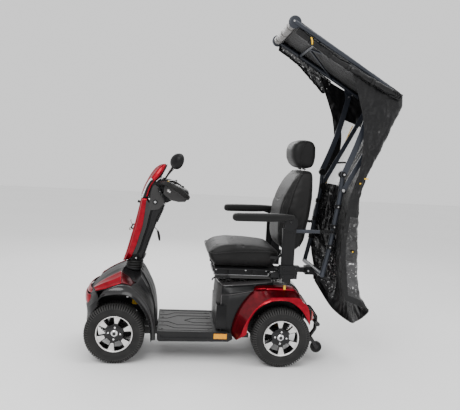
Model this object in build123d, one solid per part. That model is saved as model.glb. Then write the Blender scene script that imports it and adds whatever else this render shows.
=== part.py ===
from build123d import *
import math
import os

os.makedirs("parts", exist_ok=True)

# A four-wheeled mobility scooter with a captain's seat and a folding weather canopy.
# Millimetres. +X is forward, +Y is the rider's left and +Z is up, with the ground at Z = 0.
# Side-view outlines are (station, height) points: a station is measured rearward from the front axle.

# ---- driving dimensions -------------------------------------------------------------------------
CENTRE_STATION = 687.65         # the station that lies at X = 0, half way along the whole machine
WHEELBASE = 951.0
TYRE_R = 170.0                  # 13 inch class tyre on an 8 inch rim
TYRE_WIDTH = 115.0
RIM_R = 104.0
FRONT_TRACK_HALF = 228.0
REAR_TRACK_HALF = 243.0
AXLE_R = 10.0
RUNNING_FIT = 0.05              # radial clearance between a shaft and its hole

KINGPIN_SIDE = 150.0            # how far out each kingpin stands
STEERING_TILT = 8.0             # caster of the kingpins and of the steering stem, degrees
STEERING_ARM = 60.0             # length of the three steering arms
TIE_ROD_LEVEL = 53.0            # height of the tie rod along the kingpin, above the spindle

TILT_PIVOT = (82.0, 520.0)      # tiller tilt pivot, inside the bellows
COLUMN_LEAN = 16.5              # lean of the tiller column from upright, degrees
SWING_PIVOT = (735.0, 185.0)    # pivot of the rear drive unit
RAIL_IN, RAIL_OUT = 52.0, 82.0  # inner and outer faces of the frame rails

SEAT_AXIS = 697.0               # station of the seat post
RECLINE_PIVOT = (985.0, 690.0)
ARMREST_PIVOT = (965.0, 848.0)
ARMREST_SIDE = 285.0

LINK_PIVOT = (1270.0, 1036.0)   # canopy: lower pivot of the rear link
ARM_PIVOT = (1262.0, 1128.0)    # canopy: lower pivot of the main arm
ROOF_PIVOT = (1413.0, 1624.0)   # canopy: top pivot of the main arm
ROOF_LINK_PIN = (1540.0, 1560.0)
LINK_EYE_R = 19.0               # the link's top eye is a wide one, so that the roof pin floats in it
ROOF_FRONT = (925.0, 1955.0)    # centreline of the roof rails
ROOF_REAR = (1552.0, 1588.0)
RAIL_SIDE = 275.0

DIAL_PLACE = (250.0, 48.0)      # station and side of the controls on the console top
KEY_PLACE = (250.0, -48.0)
BUTTON_PLACE = (264.0, 72.0)
SOCKET_PLACE = (345.0, 0.0)
SOCKET_TOP = 1006.0
SOCKET_R = 9.0
THROTTLE_STATION = 306.0
BRAKE_PLACE = (268.0, 120.0)
LEVER_REACH = 205.0             # how far up the column the tilt lever sits
LEVER_BACK = 28.0               # how far behind the column centre its pivot is


# ---- helpers ------------------------------------------------------------------------------------
def at(station, height, side=0.0):
    """The point at this station, height and side."""
    return Vector(CENTRE_STATION - station, side, height)


def plate(outline, side_from, side_to):
    """A side-view outline made solid between two sides."""
    face = make_face(Polyline([at(s, z, side_from) for s, z in outline], close=True))
    return extrude(face, amount=side_to - side_from, dir=(0, 1, 0))


def strip(line, thickness, side_from, side_to):
    """A sheet of even thickness whose edge follows a side-view line."""
    half = thickness / 2
    upper, lower = [], []
    for i, (s, z) in enumerate(line):
        before = line[max(i - 1, 0)]
        after = line[min(i + 1, len(line) - 1)]
        run = math.hypot(after[0] - before[0], after[1] - before[1])
        across = (-(after[1] - before[1]) / run * half, (after[0] - before[0]) / run * half)
        upper.append((s + across[0], z + across[1]))
        lower.append((s - across[0], z - across[1]))
    return plate(upper + lower[::-1], side_from, side_to)


def rod(start, end, radius):
    """A round bar between two points."""
    along = end - start
    plane = Plane(origin=start, z_dir=along.normalized())
    return extrude(plane * Circle(radius), amount=along.length)


def tube(points, radius, bend, wall=0.0):
    """A bent round tube through points, hollow if it has a wall."""
    path = FilletPolyline(*points, radius=bend) if len(points) > 2 else Line(*points)
    start = Plane(origin=path @ 0, z_dir=path % 0)
    section = start * Circle(radius)
    if wall:
        section -= start * Circle(radius - wall)
    return sweep(section, path=path)


def cross_bar(station, height, radius, side_from, side_to):
    return rod(at(station, height, side_from), at(station, height, side_to), radius)


def upright_pin(station, side, low, high, radius):
    return rod(at(station, low, side), at(station, high, side), radius)


def block(station_from, station_to, height_from, height_to, side_from, side_to):
    outline = [(station_from, height_from), (station_to, height_from),
               (station_to, height_to), (station_from, height_to)]
    return plate(outline, side_from, side_to)


def both_sides(shape):
    """The shape and its mirror image across the centre plane."""
    return shape + mirror(shape, about=Plane.XZ)


def joined(pieces):
    """Pieces fused to one shape."""
    whole = pieces[0]
    for piece in pieces[1:]:
        whole = whole + piece
    return whole


def save(name, shape):
    solids = shape.solids()
    export_step(solids[0] if len(solids) == 1 else Compound(children=list(solids)), f"parts/{name}.step")


def steering_frame(side=0.0):
    """The place of a kingpin: its local Z runs up along the tilted steering axis."""
    return Location(at(0.0, TYRE_R, side)) * Location((0, 0, 0), (0, -STEERING_TILT, 0))


def in_steering_frame(point):
    """A side-view point as (forward, up) in the steering frame."""
    turn = math.radians(STEERING_TILT)
    rearward, up = point[0], point[1] - TYRE_R
    forward = -(rearward * math.cos(turn) - up * math.sin(turn))
    return forward, rearward * math.sin(turn) + up * math.cos(turn)


def upright(radius, low, high, forward=0.0, side=0.0):
    """A cylinder along local Z in the steering frame."""
    return Pos(forward, side, low) * Cylinder(radius, high - low, align=(Align.CENTER, Align.CENTER, Align.MIN))


def slab(forward_from, forward_to, side_from, side_to, low, high):
    """A box in the steering frame."""
    size = (forward_to - forward_from, side_to - side_from, high - low)
    centre = ((forward_from + forward_to) / 2, (side_from + side_to) / 2, (low + high) / 2)
    return Pos(*centre) * Box(*size)


def column_point(distance, ahead=0.0, side=0.0):
    """A point this far up the tiller column from the tilt pivot, and this far ahead of its centreline."""
    lean = math.radians(COLUMN_LEAN)
    station = TILT_PIVOT[0] + distance * math.sin(lean) - ahead * math.cos(lean)
    height = TILT_PIVOT[1] + distance * math.cos(lean) + ahead * math.sin(lean)
    return at(station, height, side)


STEM_FORWARD, STEM_TOP = in_steering_frame(TILT_PIVOT)


# ---- chassis ------------------------------------------------------------------------------------
def chassis_frame():
    rails = both_sides(block(-60, 760, 118, 158, RAIL_IN, RAIL_OUT))
    ties = joined([block(s, s + 30, 118, 158, -RAIL_IN - 1, RAIL_IN + 1) for s in (-60, 250, 560)])
    beam = block(-20, 20, 150, 190, -126, 126)
    outrigger = joined([block(s, s + 30, 140, 158, -230, 230) for s in (300, 500)])
    head_plate = [(-60, 150), (10, 150), (25, 250), (60, 280), (75, 400), (50, 410), (-20, 250)]
    head_plates = both_sides(plate(head_plate, 20, 27))
    frame = joined([rails, ties, beam, outrigger, head_plates])
    # Kingpin eyes at the ends of the beam, and the tube that carries the steering stem.
    eye = upright(17, -26, 26) + slab(-16, 16, -30, -10, -20, 20)
    eye = eye - upright(8 + RUNNING_FIT, -27, 27)
    left_eye = steering_frame(KINGPIN_SIDE) * eye
    head_tube = steering_frame() * upright(24, 112, 250, STEM_FORWARD)
    frame = frame + left_eye + mirror(left_eye, about=Plane.XZ) + head_tube
    frame = frame - steering_frame() * upright(15 + RUNNING_FIT, 60, 260, STEM_FORWARD)
    frame = frame - both_sides(steering_frame(KINGPIN_SIDE) * upright(8 + RUNNING_FIT, -40, 40))
    # Rear uprights, the pin for the drive unit, the upper rails over the springs, and the seat post.
    rear_plate = [(712, 150), (758, 150), (758, 345), (712, 345)]
    uprights = both_sides(plate(rear_plate, RAIL_IN, RAIL_OUT))
    pin = cross_bar(*SWING_PIVOT, 12, -RAIL_IN - 1, RAIL_IN + 1)
    upper_rails = both_sides(block(712, 1080, 314, 344, RAIL_IN, RAIL_OUT))
    upper_ties = block(712, 742, 314, 344, -RAIL_IN - 1, RAIL_IN + 1)
    upper_ties = upper_ties + block(1050, 1080, 314, 344, -150, 150)
    post = rod(at(SEAT_AXIS, 340), at(SEAT_AXIS, 494), 30) - rod(at(SEAT_AXIS, 400), at(SEAT_AXIS, 495), 25.05)
    post_base = block(662, 745, 345, 357, -RAIL_OUT, RAIL_OUT)
    return joined([frame, uprights, pin, upper_rails, upper_ties, post_base, post])


def batteries():
    left = block(578, 692, 190, 330, 4, 195)
    terminals = joined([rod(at(600, 330, side), at(600, 342, side), 7) for side in (40, 160)])
    return both_sides(left + terminals)


def floor_deck():
    mat = block(236, 566, 172, 180, -238, 238)
    pan = block(236, 566, 160, 172, -225, 225)
    ribs = joined([block(s, s + 6, 180, 182, -190, 190) for s in range(280, 560, 30)])
    skirt = both_sides(plate([(236, 172), (566, 172), (650, 176), (674, 142), (650, 128), (250, 123)], 230, 240))
    return joined([mat, pan, ribs, skirt])


def front_cowl():
    nose = [(-176, 210), (-186, 250), (-189, 300), (-186, 360), (-140, 410), (-85, 452), (-40, 480),
            (4, 505), (32, 512)]
    centre = strip(nose, 7, -84, 84)
    brow = both_sides(strip([(-150, 330), (-160, 370), (-140, 408), (-80, 428), (0, 442), (80, 440),
                             (150, 420), (200, 380)], 7, 80, 240))
    rear = strip([(134, 512), (184, 462), (213, 383), (232, 310), (238, 250), (232, 182)], 7, -84, 84)
    rear_wings = both_sides(strip([(200, 380), (213, 340), (232, 290), (238, 250), (232, 182)], 7, 80, 240))
    collar = both_sides(block(30, 130, 505, 512, 58, 84))
    walls = [(-186, 300), (-186, 360), (-140, 410), (-40, 480), (32, 510), (128, 510), (184, 462),
             (213, 383), (236, 290), (236, 250), (150, 262), (-150, 262)]
    inner_walls = both_sides(plate(walls, 80, 84))
    arch_line = [(-102, 384), (-60, 400), (0, 410), (60, 404), (105, 385), (140, 350), (178, 290),
                 (200, 220), (210, 142)]
    roof_line = arch_line[:4] + [(120, 392), (180, 366), (206, 345)]
    liners = both_sides(strip(roof_line, 6, 82, 292))
    upper = [(-98, 392), (-60, 425), (0, 452), (60, 457), (110, 440), (160, 392), (205, 318), (229, 200),
             (229, 140)]
    lips = both_sides(plate(upper + arch_line[::-1], 284, 298))
    return joined([centre, brow, rear, rear_wings, collar, inner_walls, liners, lips])


def red_trim():
    """Painted panels on the cowl: one over each front wheel and a bumper strip round the nose."""
    flash = both_sides(strip([(-110, 430), (-40, 446), (20, 452), (80, 446), (125, 436)], 5, 90, 232).
                       moved(Location((0, 0, 7))))
    bumper = strip([(-172, 333), (-175, 372), (-160, 402)], 6, 86, 236)
    return flash + both_sides(bumper)


def lamps():
    """Clear front lamps in the nose and amber side markers under the seat box."""
    front = block(-201, -193.5, 318, 350, 20, 74)
    marker = block(566, 640, 146, 174, 240.5, 246)
    return both_sides(front) + both_sides(marker)


def tail_lamps():
    return both_sides(block(1122, 1136, 270, 330, 210, 270))


def seat_box():
    side = [(569, 186), (569, 425), (905, 480), (905, 372), (712, 372), (712, 186)]
    core = plate(side, -176, 176)
    cheek = [(569, 186), (569, 423), (640, 436), (792, 458), (745, 400), (712, 330), (690, 250), (672, 186)]
    wide = both_sides(plate(cheek, 170, 212))
    room = plate([(575, 180), (575, 419), (899, 472), (899, 366), (711, 366), (711, 180)], -170, 170)
    side_room = both_sides(plate([(575, 180), (575, 417), (650, 428), (700, 330), (700, 180)], 165, 206))
    shell = core + wide - room - side_room
    neck = rod(at(SEAT_AXIS, 360), at(SEAT_AXIS, 500), 31)
    frame_gap = block(705, 765, 340, 380, -90, 90)
    return shell - neck - frame_gap


def rear_cover():
    top = strip([(908, 476), (930, 474), (990, 460), (1050, 440), (1080, 405), (1096, 360)], 6, -176, 176)
    cheek = [(908, 474), (930, 472), (990, 458), (1050, 438), (1080, 405), (1094, 360), (1060, 385), (908, 415)]
    return top + both_sides(plate(cheek, 170, 176))


def rear_fenders():
    arch = [(711, 191), (728, 212), (745, 240), (757, 268), (778, 312), (805, 345), (835, 372), (862, 384),
            (921, 402), (975, 400), (1012, 390), (1045, 368), (1070, 345), (1094, 305), (1112, 257)]
    liner = strip(arch, 6, 214, 292) + strip(arch[4:], 6, 181, 216)
    back = [(1118, 257), (1104, 355), (1070, 392), (1040, 414), (1025, 455), (900, 456), (784, 446),
            (735, 350), (690, 225), (674, 165), (690, 160)]
    lip = plate(arch + back, 286, 300)
    top = strip([(800, 444), (900, 453), (1020, 452), (1036, 414), (1068, 388), (1102, 350), (1115, 262)],
                6, 181, 290)
    side = plate([(735, 350), (800, 446), (900, 456), (1025, 455), (1040, 414), (1070, 392), (1045, 371),
                  (1012, 393), (921, 405), (835, 375), (778, 315), (745, 300)], 214, 220)
    return both_sides(joined([liner, lip, top, side]))


def rear_bumper():
    hoop = tube([at(1081, 327, 140), at(1140, 325, 140), at(1186, 262, 140), at(1184, 190, 140),
                 at(1150, 138, 140), at(1094, 150, 140), at(1094, 320, 140)], 11, 22)
    bars = cross_bar(1186, 232, 12, -200, 200) + cross_bar(1150, 138, 9, -178, 178)
    arm = plate([(1140, 150), (1160, 150), (1200, 92), (1192, 76), (1178, 84)], 150, 157)
    fork = arm + arm.moved(Location((0, 32, 0)))
    stub = cross_bar(1189, 87, 6, 150, 189)
    bridge = cross_bar(1150, 138, 12, 148, 189)
    return both_sides(joined([hoop, fork, stub, bridge])) + bars


def coil(radius, wire, turns, station, side, low, high):
    """A coil spring standing between two heights."""
    path = Helix(pitch=(high - low - 2 * wire) / turns, height=high - low - 2 * wire, radius=radius)
    wire_end = Plane(origin=path @ 0, z_dir=path % 0) * Circle(wire)
    spring = sweep(wire_end, path=path, is_frenet=True)
    return spring.moved(Location(at(station, low + wire, side)))


def rear_springs():
    left = coil(22, 4, 5, WHEELBASE, (RAIL_IN + RAIL_OUT) / 2, 217, 312)
    return both_sides(left)


# ---- front steering -----------------------------------------------------------------------------
def knuckle(outward):
    """Fork round the kingpin eye, with the pin, the wheel spindle and the steering arm."""
    pin = upright(8, -46, 46)
    cheeks = slab(-20, 20, -20, 30, -42, -30) + slab(-20, 20, -20, 30, 30, 42)
    web = slab(-20, 20, 19, 30, -42, 42)
    arm = slab(-STEERING_ARM, 0, -13, 13, 30, 42)
    arm_pin = upright(5, 30, TIE_ROD_LEVEL + 9, -STEERING_ARM)
    hub = joined([pin, cheeks, web, arm, arm_pin])
    body = steering_frame(KINGPIN_SIDE) * hub
    body = body + cross_bar(0, TYRE_R, AXLE_R, KINGPIN_SIDE + 20, FRONT_TRACK_HALF + 40)
    body = body + cross_bar(0, TYRE_R, 16, KINGPIN_SIDE + 20, FRONT_TRACK_HALF - 30)
    return body if outward > 0 else mirror(body, about=Plane.XZ)


def tie_rod():
    eye = upright(12, TIE_ROD_LEVEL - 6, TIE_ROD_LEVEL + 6)
    ends = joined([Pos(-STEERING_ARM, side, 0) * eye for side in (-KINGPIN_SIDE, KINGPIN_SIDE)])
    start = Vector(-STEERING_ARM, -KINGPIN_SIDE + 8, TIE_ROD_LEVEL)
    end = Vector(-STEERING_ARM, KINGPIN_SIDE - 8, TIE_ROD_LEVEL)
    pitman = STEM_FORWARD - STEERING_ARM
    tab = slab(pitman, -STEERING_ARM, -12, 12, TIE_ROD_LEVEL - 6, TIE_ROD_LEVEL + 6) + Pos(pitman, 0, 0) * eye
    whole = joined([ends, rod(start, end, 5), tab])
    holes = upright(5 + RUNNING_FIT, 0, 90, pitman)
    for side in (-KINGPIN_SIDE, KINGPIN_SIDE):
        holes = holes + upright(5 + RUNNING_FIT, 0, 90, -STEERING_ARM, side)
    return steering_frame() * (whole - holes)


def steering_stem():
    stem = upright(15, 62, STEM_TOP - 24, STEM_FORWARD)
    pitman = slab(STEM_FORWARD - STEERING_ARM, STEM_FORWARD, -12, 12, 62, 72)
    pin = upright(5, TIE_ROD_LEVEL - 9, 70, STEM_FORWARD - STEERING_ARM)
    lower = steering_frame() * joined([stem, pitman, pin, upright(20, 250.5, 262, STEM_FORWARD)])
    low_cheek = steering_frame() * (Pos(STEM_FORWARD, 0, STEM_TOP - 26) * Box(36, 44, 14))
    cheek = rod(at(*TILT_PIVOT, 15), at(*TILT_PIVOT, 22), 18)
    leg = steering_frame() * (Pos(STEM_FORWARD, 18.5, STEM_TOP - 12) * Box(34, 7, 26))
    bolt = cross_bar(*TILT_PIVOT, 6, -24, 24)
    return joined([lower, low_cheek, both_sides(cheek + leg), bolt])


def bellows():
    """Ribbed rubber boot: a zigzag wall turned round an upright axis."""
    low, high, ribs = 470.0, 546.0, 5
    pitch = (high - low) / ribs
    outer, inner = [], []
    for i in range(2 * ribs + 1):
        height = low + i * pitch / 2
        radius = 44.0 if i % 2 else 38.5
        outer.append((radius, height))
        inner.append((radius - 3, height))
    wall = make_face(Polyline([Vector(r, 0, z) for r, z in outer + inner[::-1]], close=True))
    return revolve(wall, axis=Axis.Z).moved(Location(at(TILT_PIVOT[0], 0)))


# ---- tiller -------------------------------------------------------------------------------------
def column_section(distance, depth, width, corner, ahead=0.0):
    """A rounded cross-section of the tiller cover, square to the column."""
    origin = column_point(distance, ahead)
    place = Plane(origin=origin, x_dir=(1, 0, 0), z_dir=(0, 0, 1))
    return place * RectangleRounded(depth, width, corner)


def column_cover(shrink):
    sections = [column_section(34, 118 - shrink, 126 - shrink, 34, 2),
                column_section(210, 128 - shrink, 140 - shrink, 38, 2),
                column_section(400, 146 - shrink, 168 - shrink, 44, -2)]
    return loft(sections, ruled=True)


def column_half(front):
    """Everything ahead of, or behind, the seam between the two covers."""
    seam = [column_point(-20, 16), column_point(470, 30)]
    reach = 400 if front else -400
    far = Vector(reach, 0, 0)
    gap = Vector(0.4 if front else -0.4, 0, 0)
    corners = [seam[0] + gap, seam[1] + gap, seam[1] + far, seam[0] + far]
    face = make_face(Polyline([Vector(c.X, -200, c.Z) for c in corners], close=True))
    return extrude(face, amount=400, dir=(0, 1, 0))


def tiller_tube():
    tongue = rod(at(*TILT_PIVOT, -14.5), at(*TILT_PIVOT, 14.5), 15)
    column = rod(column_point(0), column_point(440), 14) + rod(column_point(36), column_point(440), 20)
    head = rod(column_point(425, 0, -40), column_point(425, 0, 40), 12)
    hook_path = [column_point(230, 0), column_point(230, 84), column_point(205, 90), column_point(200, 76)]
    hook = tube(hook_path, 4, 5)
    lug = rod(column_point(LEVER_REACH, -LEVER_BACK, 5.5), column_point(LEVER_REACH, -LEVER_BACK, 9.5), 7)
    web = rod(column_point(LEVER_REACH, -10, 7.5), column_point(LEVER_REACH, -LEVER_BACK, 7.5), 1.9)
    lever_pin = rod(column_point(LEVER_REACH, -LEVER_BACK, -9), column_point(LEVER_REACH, -LEVER_BACK, 9), 3)
    whole = joined([tongue, column, head, hook, both_sides(lug + web), lever_pin])
    return whole - cross_bar(*TILT_PIVOT, 6 + RUNNING_FIT, -30, 30)


def tiller_front():
    shell = column_cover(0) - column_cover(10)
    shell = shell & column_half(True)
    hook_gap = rod(column_point(230, 20), column_point(230, 120), 5)
    fin = plate([(106, 925), (109, 945), (140, 1000), (190, 1070), (236, 1124), (246, 1130), (250, 1120),
                 (240, 1060), (196, 1030), (176, 1028), (150, 990), (128, 925)], -62, 62)
    return shell - hook_gap + fin


def tiller_rear():
    shell = column_cover(0) - column_cover(10)
    shell = shell & column_half(False)
    lever_gap = joined([rod(column_point(reach, -30), column_point(reach, -120), 11) for reach in (200, 212, 224)])
    return shell - lever_gap


def headlight():
    """Lamp strip let into the front of the tiller nose."""
    return plate([(100, 935), (96, 950), (128, 1008), (184, 1080), (194, 1080), (134, 1000), (108, 950),
                  (106, 935)], -26, 26)


def console():
    body = plate([(152, 932), (262, 905), (300, 925), (362, 920), (382, 946), (384, 972), (300, 1022),
                  (262, 1030), (198, 1028), (180, 1022), (156, 986)], -92, 92)
    body = body - plate([(158, 900), (236, 880), (240, 960), (200, 985), (168, 975)], -50, 50)
    loop = [at(225, 1008, 84), at(262, 1022, 168), at(300, 1020, 212), at(352, 985, 222), at(386, 960, 196),
            at(392, 952, 140), at(372, 952, 84)]
    handle = tube(loop, 13, 16)
    pivot_well = upright_pin(THROTTLE_STATION, 0, 1000, 1060, 6 + RUNNING_FIT)
    dial_well = upright_pin(*DIAL_PLACE, 1000, 1060, 4 + RUNNING_FIT)
    key_well = upright_pin(*KEY_PLACE, 1000, 1060, 4 + RUNNING_FIT)
    button_wells = both_sides(upright_pin(*BUTTON_PLACE, 1012, 1060, 7.4))
    socket_boss = upright_pin(*SOCKET_PLACE, 970, SOCKET_TOP, SOCKET_R + 6)
    socket = upright_pin(*SOCKET_PLACE, SOCKET_TOP - 20, SOCKET_TOP + 30, SOCKET_R)
    brake_well = upright_pin(*BRAKE_PLACE, 960, 1060, 4 + RUNNING_FIT)
    brake_lug = block(250, 286, 992, 1003, 88, 136)
    solid = body + both_sides(handle) + brake_lug + socket_boss
    wells = joined([pivot_well, dial_well, key_well, button_wells, brake_well, socket])
    return solid - wells


def throttle():
    hub = upright_pin(THROTTLE_STATION, 0, 1004, 1034, 6)
    paddle = plate([(296, 1032), (316, 1028), (317, 1036), (297, 1040)], -118, 118)
    return hub + paddle


def brake_lever():
    pin = upright_pin(*BRAKE_PLACE, 980, 1003, 4)
    blade = block(258, 276, 976, 988, 112, 214)
    return pin + blade


def speed_dial():
    return upright_pin(*DIAL_PLACE, 1008, 1031, 4) + upright_pin(*DIAL_PLACE, 1031, 1043, 14)


def key():
    station, side = KEY_PLACE
    shaft = upright_pin(station, side, 1008, 1032, 4)
    bow = block(station - 3, station + 3, 1031, 1056, side - 12, side + 12)
    return shaft + bow


def button():
    return upright_pin(*BUTTON_PLACE, 1016, 1036, 7)


def tilt_lever():
    pivot = rod(column_point(LEVER_REACH, -LEVER_BACK, -5), column_point(LEVER_REACH, -LEVER_BACK, 5), 8)
    arm = rod(column_point(LEVER_REACH, -32), column_point(LEVER_REACH, -96), 4)
    grip = rod(column_point(LEVER_REACH + 9, -94), column_point(LEVER_REACH - 48, -98), 8)
    hole = rod(column_point(LEVER_REACH, -LEVER_BACK, -9), column_point(LEVER_REACH, -LEVER_BACK, 9),
               3 + RUNNING_FIT)
    return joined([pivot, arm, grip]) - hole


def mirror_arm(outward):
    """A swept stem from the console to an oval head."""
    stem = tube([at(236, 1030, 76), at(262, 1060, 120), at(284, 1112, 262), at(306, 1142, 290)], 5, 14)
    ball = Pos(at(236, 1036, 76)) * Sphere(9)
    back = Plane(origin=at(298, 1156, 296), x_dir=(-0.6, 0.8, 0), z_dir=(-0.776, -0.582, -0.24))
    head = extrude(back * Ellipse(48, 44), amount=20)
    head = fillet(head.edges().sort_by(Axis.X)[-1], 14)
    whole = joined([stem, ball, head])
    whole = whole - plate([(150, 900), (400, 900), (400, 1010), (300, 1031.5), (150, 1031.5)], -100, 100)
    return whole if outward > 0 else mirror(whole, about=Plane.XZ)


# ---- wheels -------------------------------------------------------------------------------------
def tyre():
    """Round-shouldered tyre turned about Y, with tread blocks round it."""
    half = TYRE_WIDTH / 2
    body_r = TYRE_R - 6
    outline = Polyline([(RIM_R, -half + 14), (RIM_R + 18, -half + 4), (RIM_R + 40, -half), (body_r - 14, -half + 5),
                        (body_r, -half + 22), (body_r, half - 22), (body_r - 14, half - 5), (RIM_R + 40, half),
                        (RIM_R + 18, half - 4), (RIM_R, half - 14)], close=True)
    body = revolve(make_face(outline), axis=Axis.Y)
    lug = Pos(0, 0, TYRE_R - 7) * Box(20, TYRE_WIDTH - 50, 14)
    lugs = joined([Rot(0, 360 / 24 * i, 0) * lug for i in range(24)])
    band = Rot(90, 0, 0) * Cylinder(TYRE_R, TYRE_WIDTH)
    return body + (lugs & band)


def rim():
    """Barrel, six wedge spokes near the outer face, and a hub bored for the axle."""
    half = TYRE_WIDTH / 2
    barrel_half = half - 14.3
    barrel = Rot(90, 0, 0) * (Cylinder(RIM_R - 0.3, 2 * barrel_half) - Cylinder(RIM_R - 7, 2 * barrel_half + 2))
    hub = Rot(90, 0, 0) * Cylinder(30, 20)
    hub = Pos(0, barrel_half - 10, 0) * hub
    spoke = Polyline([(-9, 22), (9, 22), (28, RIM_R - 5), (-28, RIM_R - 5)], close=True)
    arm = extrude(Plane.XZ * make_face(spoke), amount=-10)
    arm = Pos(0, barrel_half - 16, 0) * arm
    spokes = joined([Rot(0, 60 * i, 0) * arm for i in range(6)])
    bore = Rot(90, 0, 0) * Cylinder(AXLE_R + RUNNING_FIT, 400)
    sleeve = Pos(0, barrel_half - 22, 0) * (Rot(90, 0, 0) * Cylinder(20, 30))
    return joined([barrel, hub, sleeve, spokes]) - bore


def place_wheel(shape, station, side):
    turned = shape if side > 0 else mirror(shape, about=Plane.XZ)
    return turned.moved(Location(at(station, TYRE_R, side)))


# ---- rear drive ---------------------------------------------------------------------------------
def rear_drive():
    sleeve = cross_bar(*SWING_PIVOT, 20, -49, 49)
    arms = both_sides(plate([(735, 170), (735, 200), (940, 190), (940, 150)], 30, 44))
    axle_tube = cross_bar(WHEELBASE, TYRE_R, 34, -178, 178)
    gear_case = rod(at(WHEELBASE, TYRE_R, -28), at(WHEELBASE, TYRE_R, 28), 62)
    motor = rod(at(770, TYRE_R + 4), at(960, TYRE_R + 4), 44) & block(760, 960, 100, 240, -29.5, 29.5)
    can = rod(at(775, TYRE_R + 4), at(905, TYRE_R + 4), 29)
    seats = both_sides(rod(at(WHEELBASE, 190, 67), at(WHEELBASE, 216, 67), 24))
    axle = cross_bar(WHEELBASE, TYRE_R, AXLE_R, -REAR_TRACK_HALF - 40, REAR_TRACK_HALF + 40)
    whole = joined([sleeve, arms, axle_tube, gear_case, motor, can, seats, axle])
    return whole - cross_bar(*SWING_PIVOT, 12 + RUNNING_FIT, -60, 60)


def anti_tip_wheel():
    wheel = Rot(90, 0, 0) * (Cylinder(34, 22) - Cylinder(6 + RUNNING_FIT, 30))
    return wheel.moved(Location(at(1189, 87, 169.5)))


# ---- seat ---------------------------------------------------------------------------------------
def swivel_base():
    post = rod(at(SEAT_AXIS, 420), at(SEAT_AXIS, 500), 25)
    flange = rod(at(SEAT_AXIS, 494.5), at(SEAT_AXIS, 503), 70)
    rails = both_sides(block(560, 900, 487, 503, 130, 160))
    ties = block(640, 754, 495, 503, -131, 131)
    lever_pin = upright_pin(650, 35, 475, 495, 3)
    return joined([post, flange, rails, ties, lever_pin])


def slide_plate():
    """Seat pan on its runners, with the side plates that carry the backrest."""
    pan = block(555, 924, 506, 512, -215, 215)
    caps = both_sides(block(570, 890, 503.5, 506, 134, 156))
    stands = both_sides(block(600, 860, 512, 552, 150, 170))
    side = plate([(880, 506), (1010, 506), (1010, 560), (1003, 700), (985, 716), (965, 700), (940, 560), (880, 540)],
                 224, 232)
    side = side + block(880, 924, 506, 512, 214, 232)
    pivot = cross_bar(*RECLINE_PIVOT, 8, 195, 256)
    lever_pin = upright_pin(640, 185, 490, 507, 3)
    return joined([pan, caps, stands, both_sides(side + pivot), lever_pin])


def seat_cushion():
    outline = [(515, 632), (522, 668), (600, 690), (700, 692), (800, 680), (905, 654), (905, 600), (880, 556),
               (545, 556), (520, 590)]
    pad = plate(outline, -240, 240)
    corners = pad.edges().filter_by(Axis.Y)
    pad = fillet(corners.sort_by(Axis.X)[-3:], 14)
    return pad


def seat_backrest():
    outline = [(940, 662), (922, 740), (916, 840), (924, 925), (968, 1035), (1012, 1112), (1040, 1143),
               (1090, 1146), (1110, 1110), (1106, 990), (1098, 870), (1074, 720), (1050, 662)]
    pad = plate(outline, -212, 212)
    return pad - both_sides(cross_bar(*RECLINE_PIVOT, 8 + RUNNING_FIT, 190, 220))


def seat_headrest():
    outline = [(1012, 1180), (1006, 1230), (1040, 1300), (1085, 1319), (1130, 1290), (1136, 1190), (1115, 1152),
               (1045, 1152)]
    pad = plate(outline, -125, 125)
    posts = both_sides(rod(at(1075, 1100, 60), at(1088, 1170, 60), 6))
    return pad + posts


def with_headrest_holes(backrest):
    holes = both_sides(rod(at(1063.5, 1038, 60), at(1088, 1170, 60), 6.3))
    return backrest - holes


def armrest():
    pad = plate([(633, 862), (640, 846), (655, 838), (915, 838), (928, 868.5), (989, 868.5), (989, 874),
                 (970, 885), (824, 890), (650, 888), (638, 878)], ARMREST_SIDE - 31, ARMREST_SIDE + 31)
    tongue = plate([(905, 850), (928, 870), (978, 870), (978, 850), (965, 834), (940, 834)],
                   ARMREST_SIDE - 12, ARMREST_SIDE + 12)
    hole = cross_bar(*ARMREST_PIVOT, 6 + RUNNING_FIT, ARMREST_SIDE - 30, ARMREST_SIDE + 30)
    return pad + tongue - hole


def arm_uprights():
    low, high = ARMREST_SIDE - 10, ARMREST_SIDE + 10
    post = block(945, 977, 540, 815, low, high) + block(924, 996, 578, 792, low, high)
    clamp = block(925, 1000, 541, 581, 233, ARMREST_SIDE + 16)
    cheek_outline = [(945, 790), (977, 790), (977, 815), (980, 848), (976, 861), (965, 865), (953, 861), (948, 848)]
    cheeks = plate(cheek_outline, ARMREST_SIDE - 19, ARMREST_SIDE - 12.5)
    cheeks = cheeks + plate(cheek_outline, ARMREST_SIDE + 12.5, ARMREST_SIDE + 19)
    head = block(945, 977, 790, 815, ARMREST_SIDE - 19, ARMREST_SIDE + 19)
    pin = cross_bar(*ARMREST_PIVOT, 6, ARMREST_SIDE - 20, ARMREST_SIDE + 20)
    hanger = block(938, 973, 500, 545, 236, 246)
    return both_sides(joined([post, clamp, cheeks, head, pin, hanger]))


def swivel_lever():
    arm = tube([at(648, 480, 38), at(600, 479, 66), at(564, 478, 104), at(548, 478, 150)], 4, 12)
    eye = upright_pin(650, 35, 476, 484, 9)
    return arm + eye - upright_pin(650, 35, 470, 490, 3 + RUNNING_FIT)


def slide_lever():
    arm = tube([at(639, 497, 185), at(575, 497, 185), at(548, 492, 205), at(540, 488, 232)], 3.5, 8)
    eye = upright_pin(640, 185, 493, 501, 8)
    return arm + eye - upright_pin(640, 185, 480, 510, 3 + RUNNING_FIT)


def recline_lever():
    blade = plate([(976, 680), (990, 700), (905, 640), (868, 642), (866, 628), (908, 622)], 246, 252)
    hub = cross_bar(*RECLINE_PIVOT, 13, 233, 252)
    return blade + hub - cross_bar(*RECLINE_PIVOT, 8 + RUNNING_FIT, 230, 255)


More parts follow.
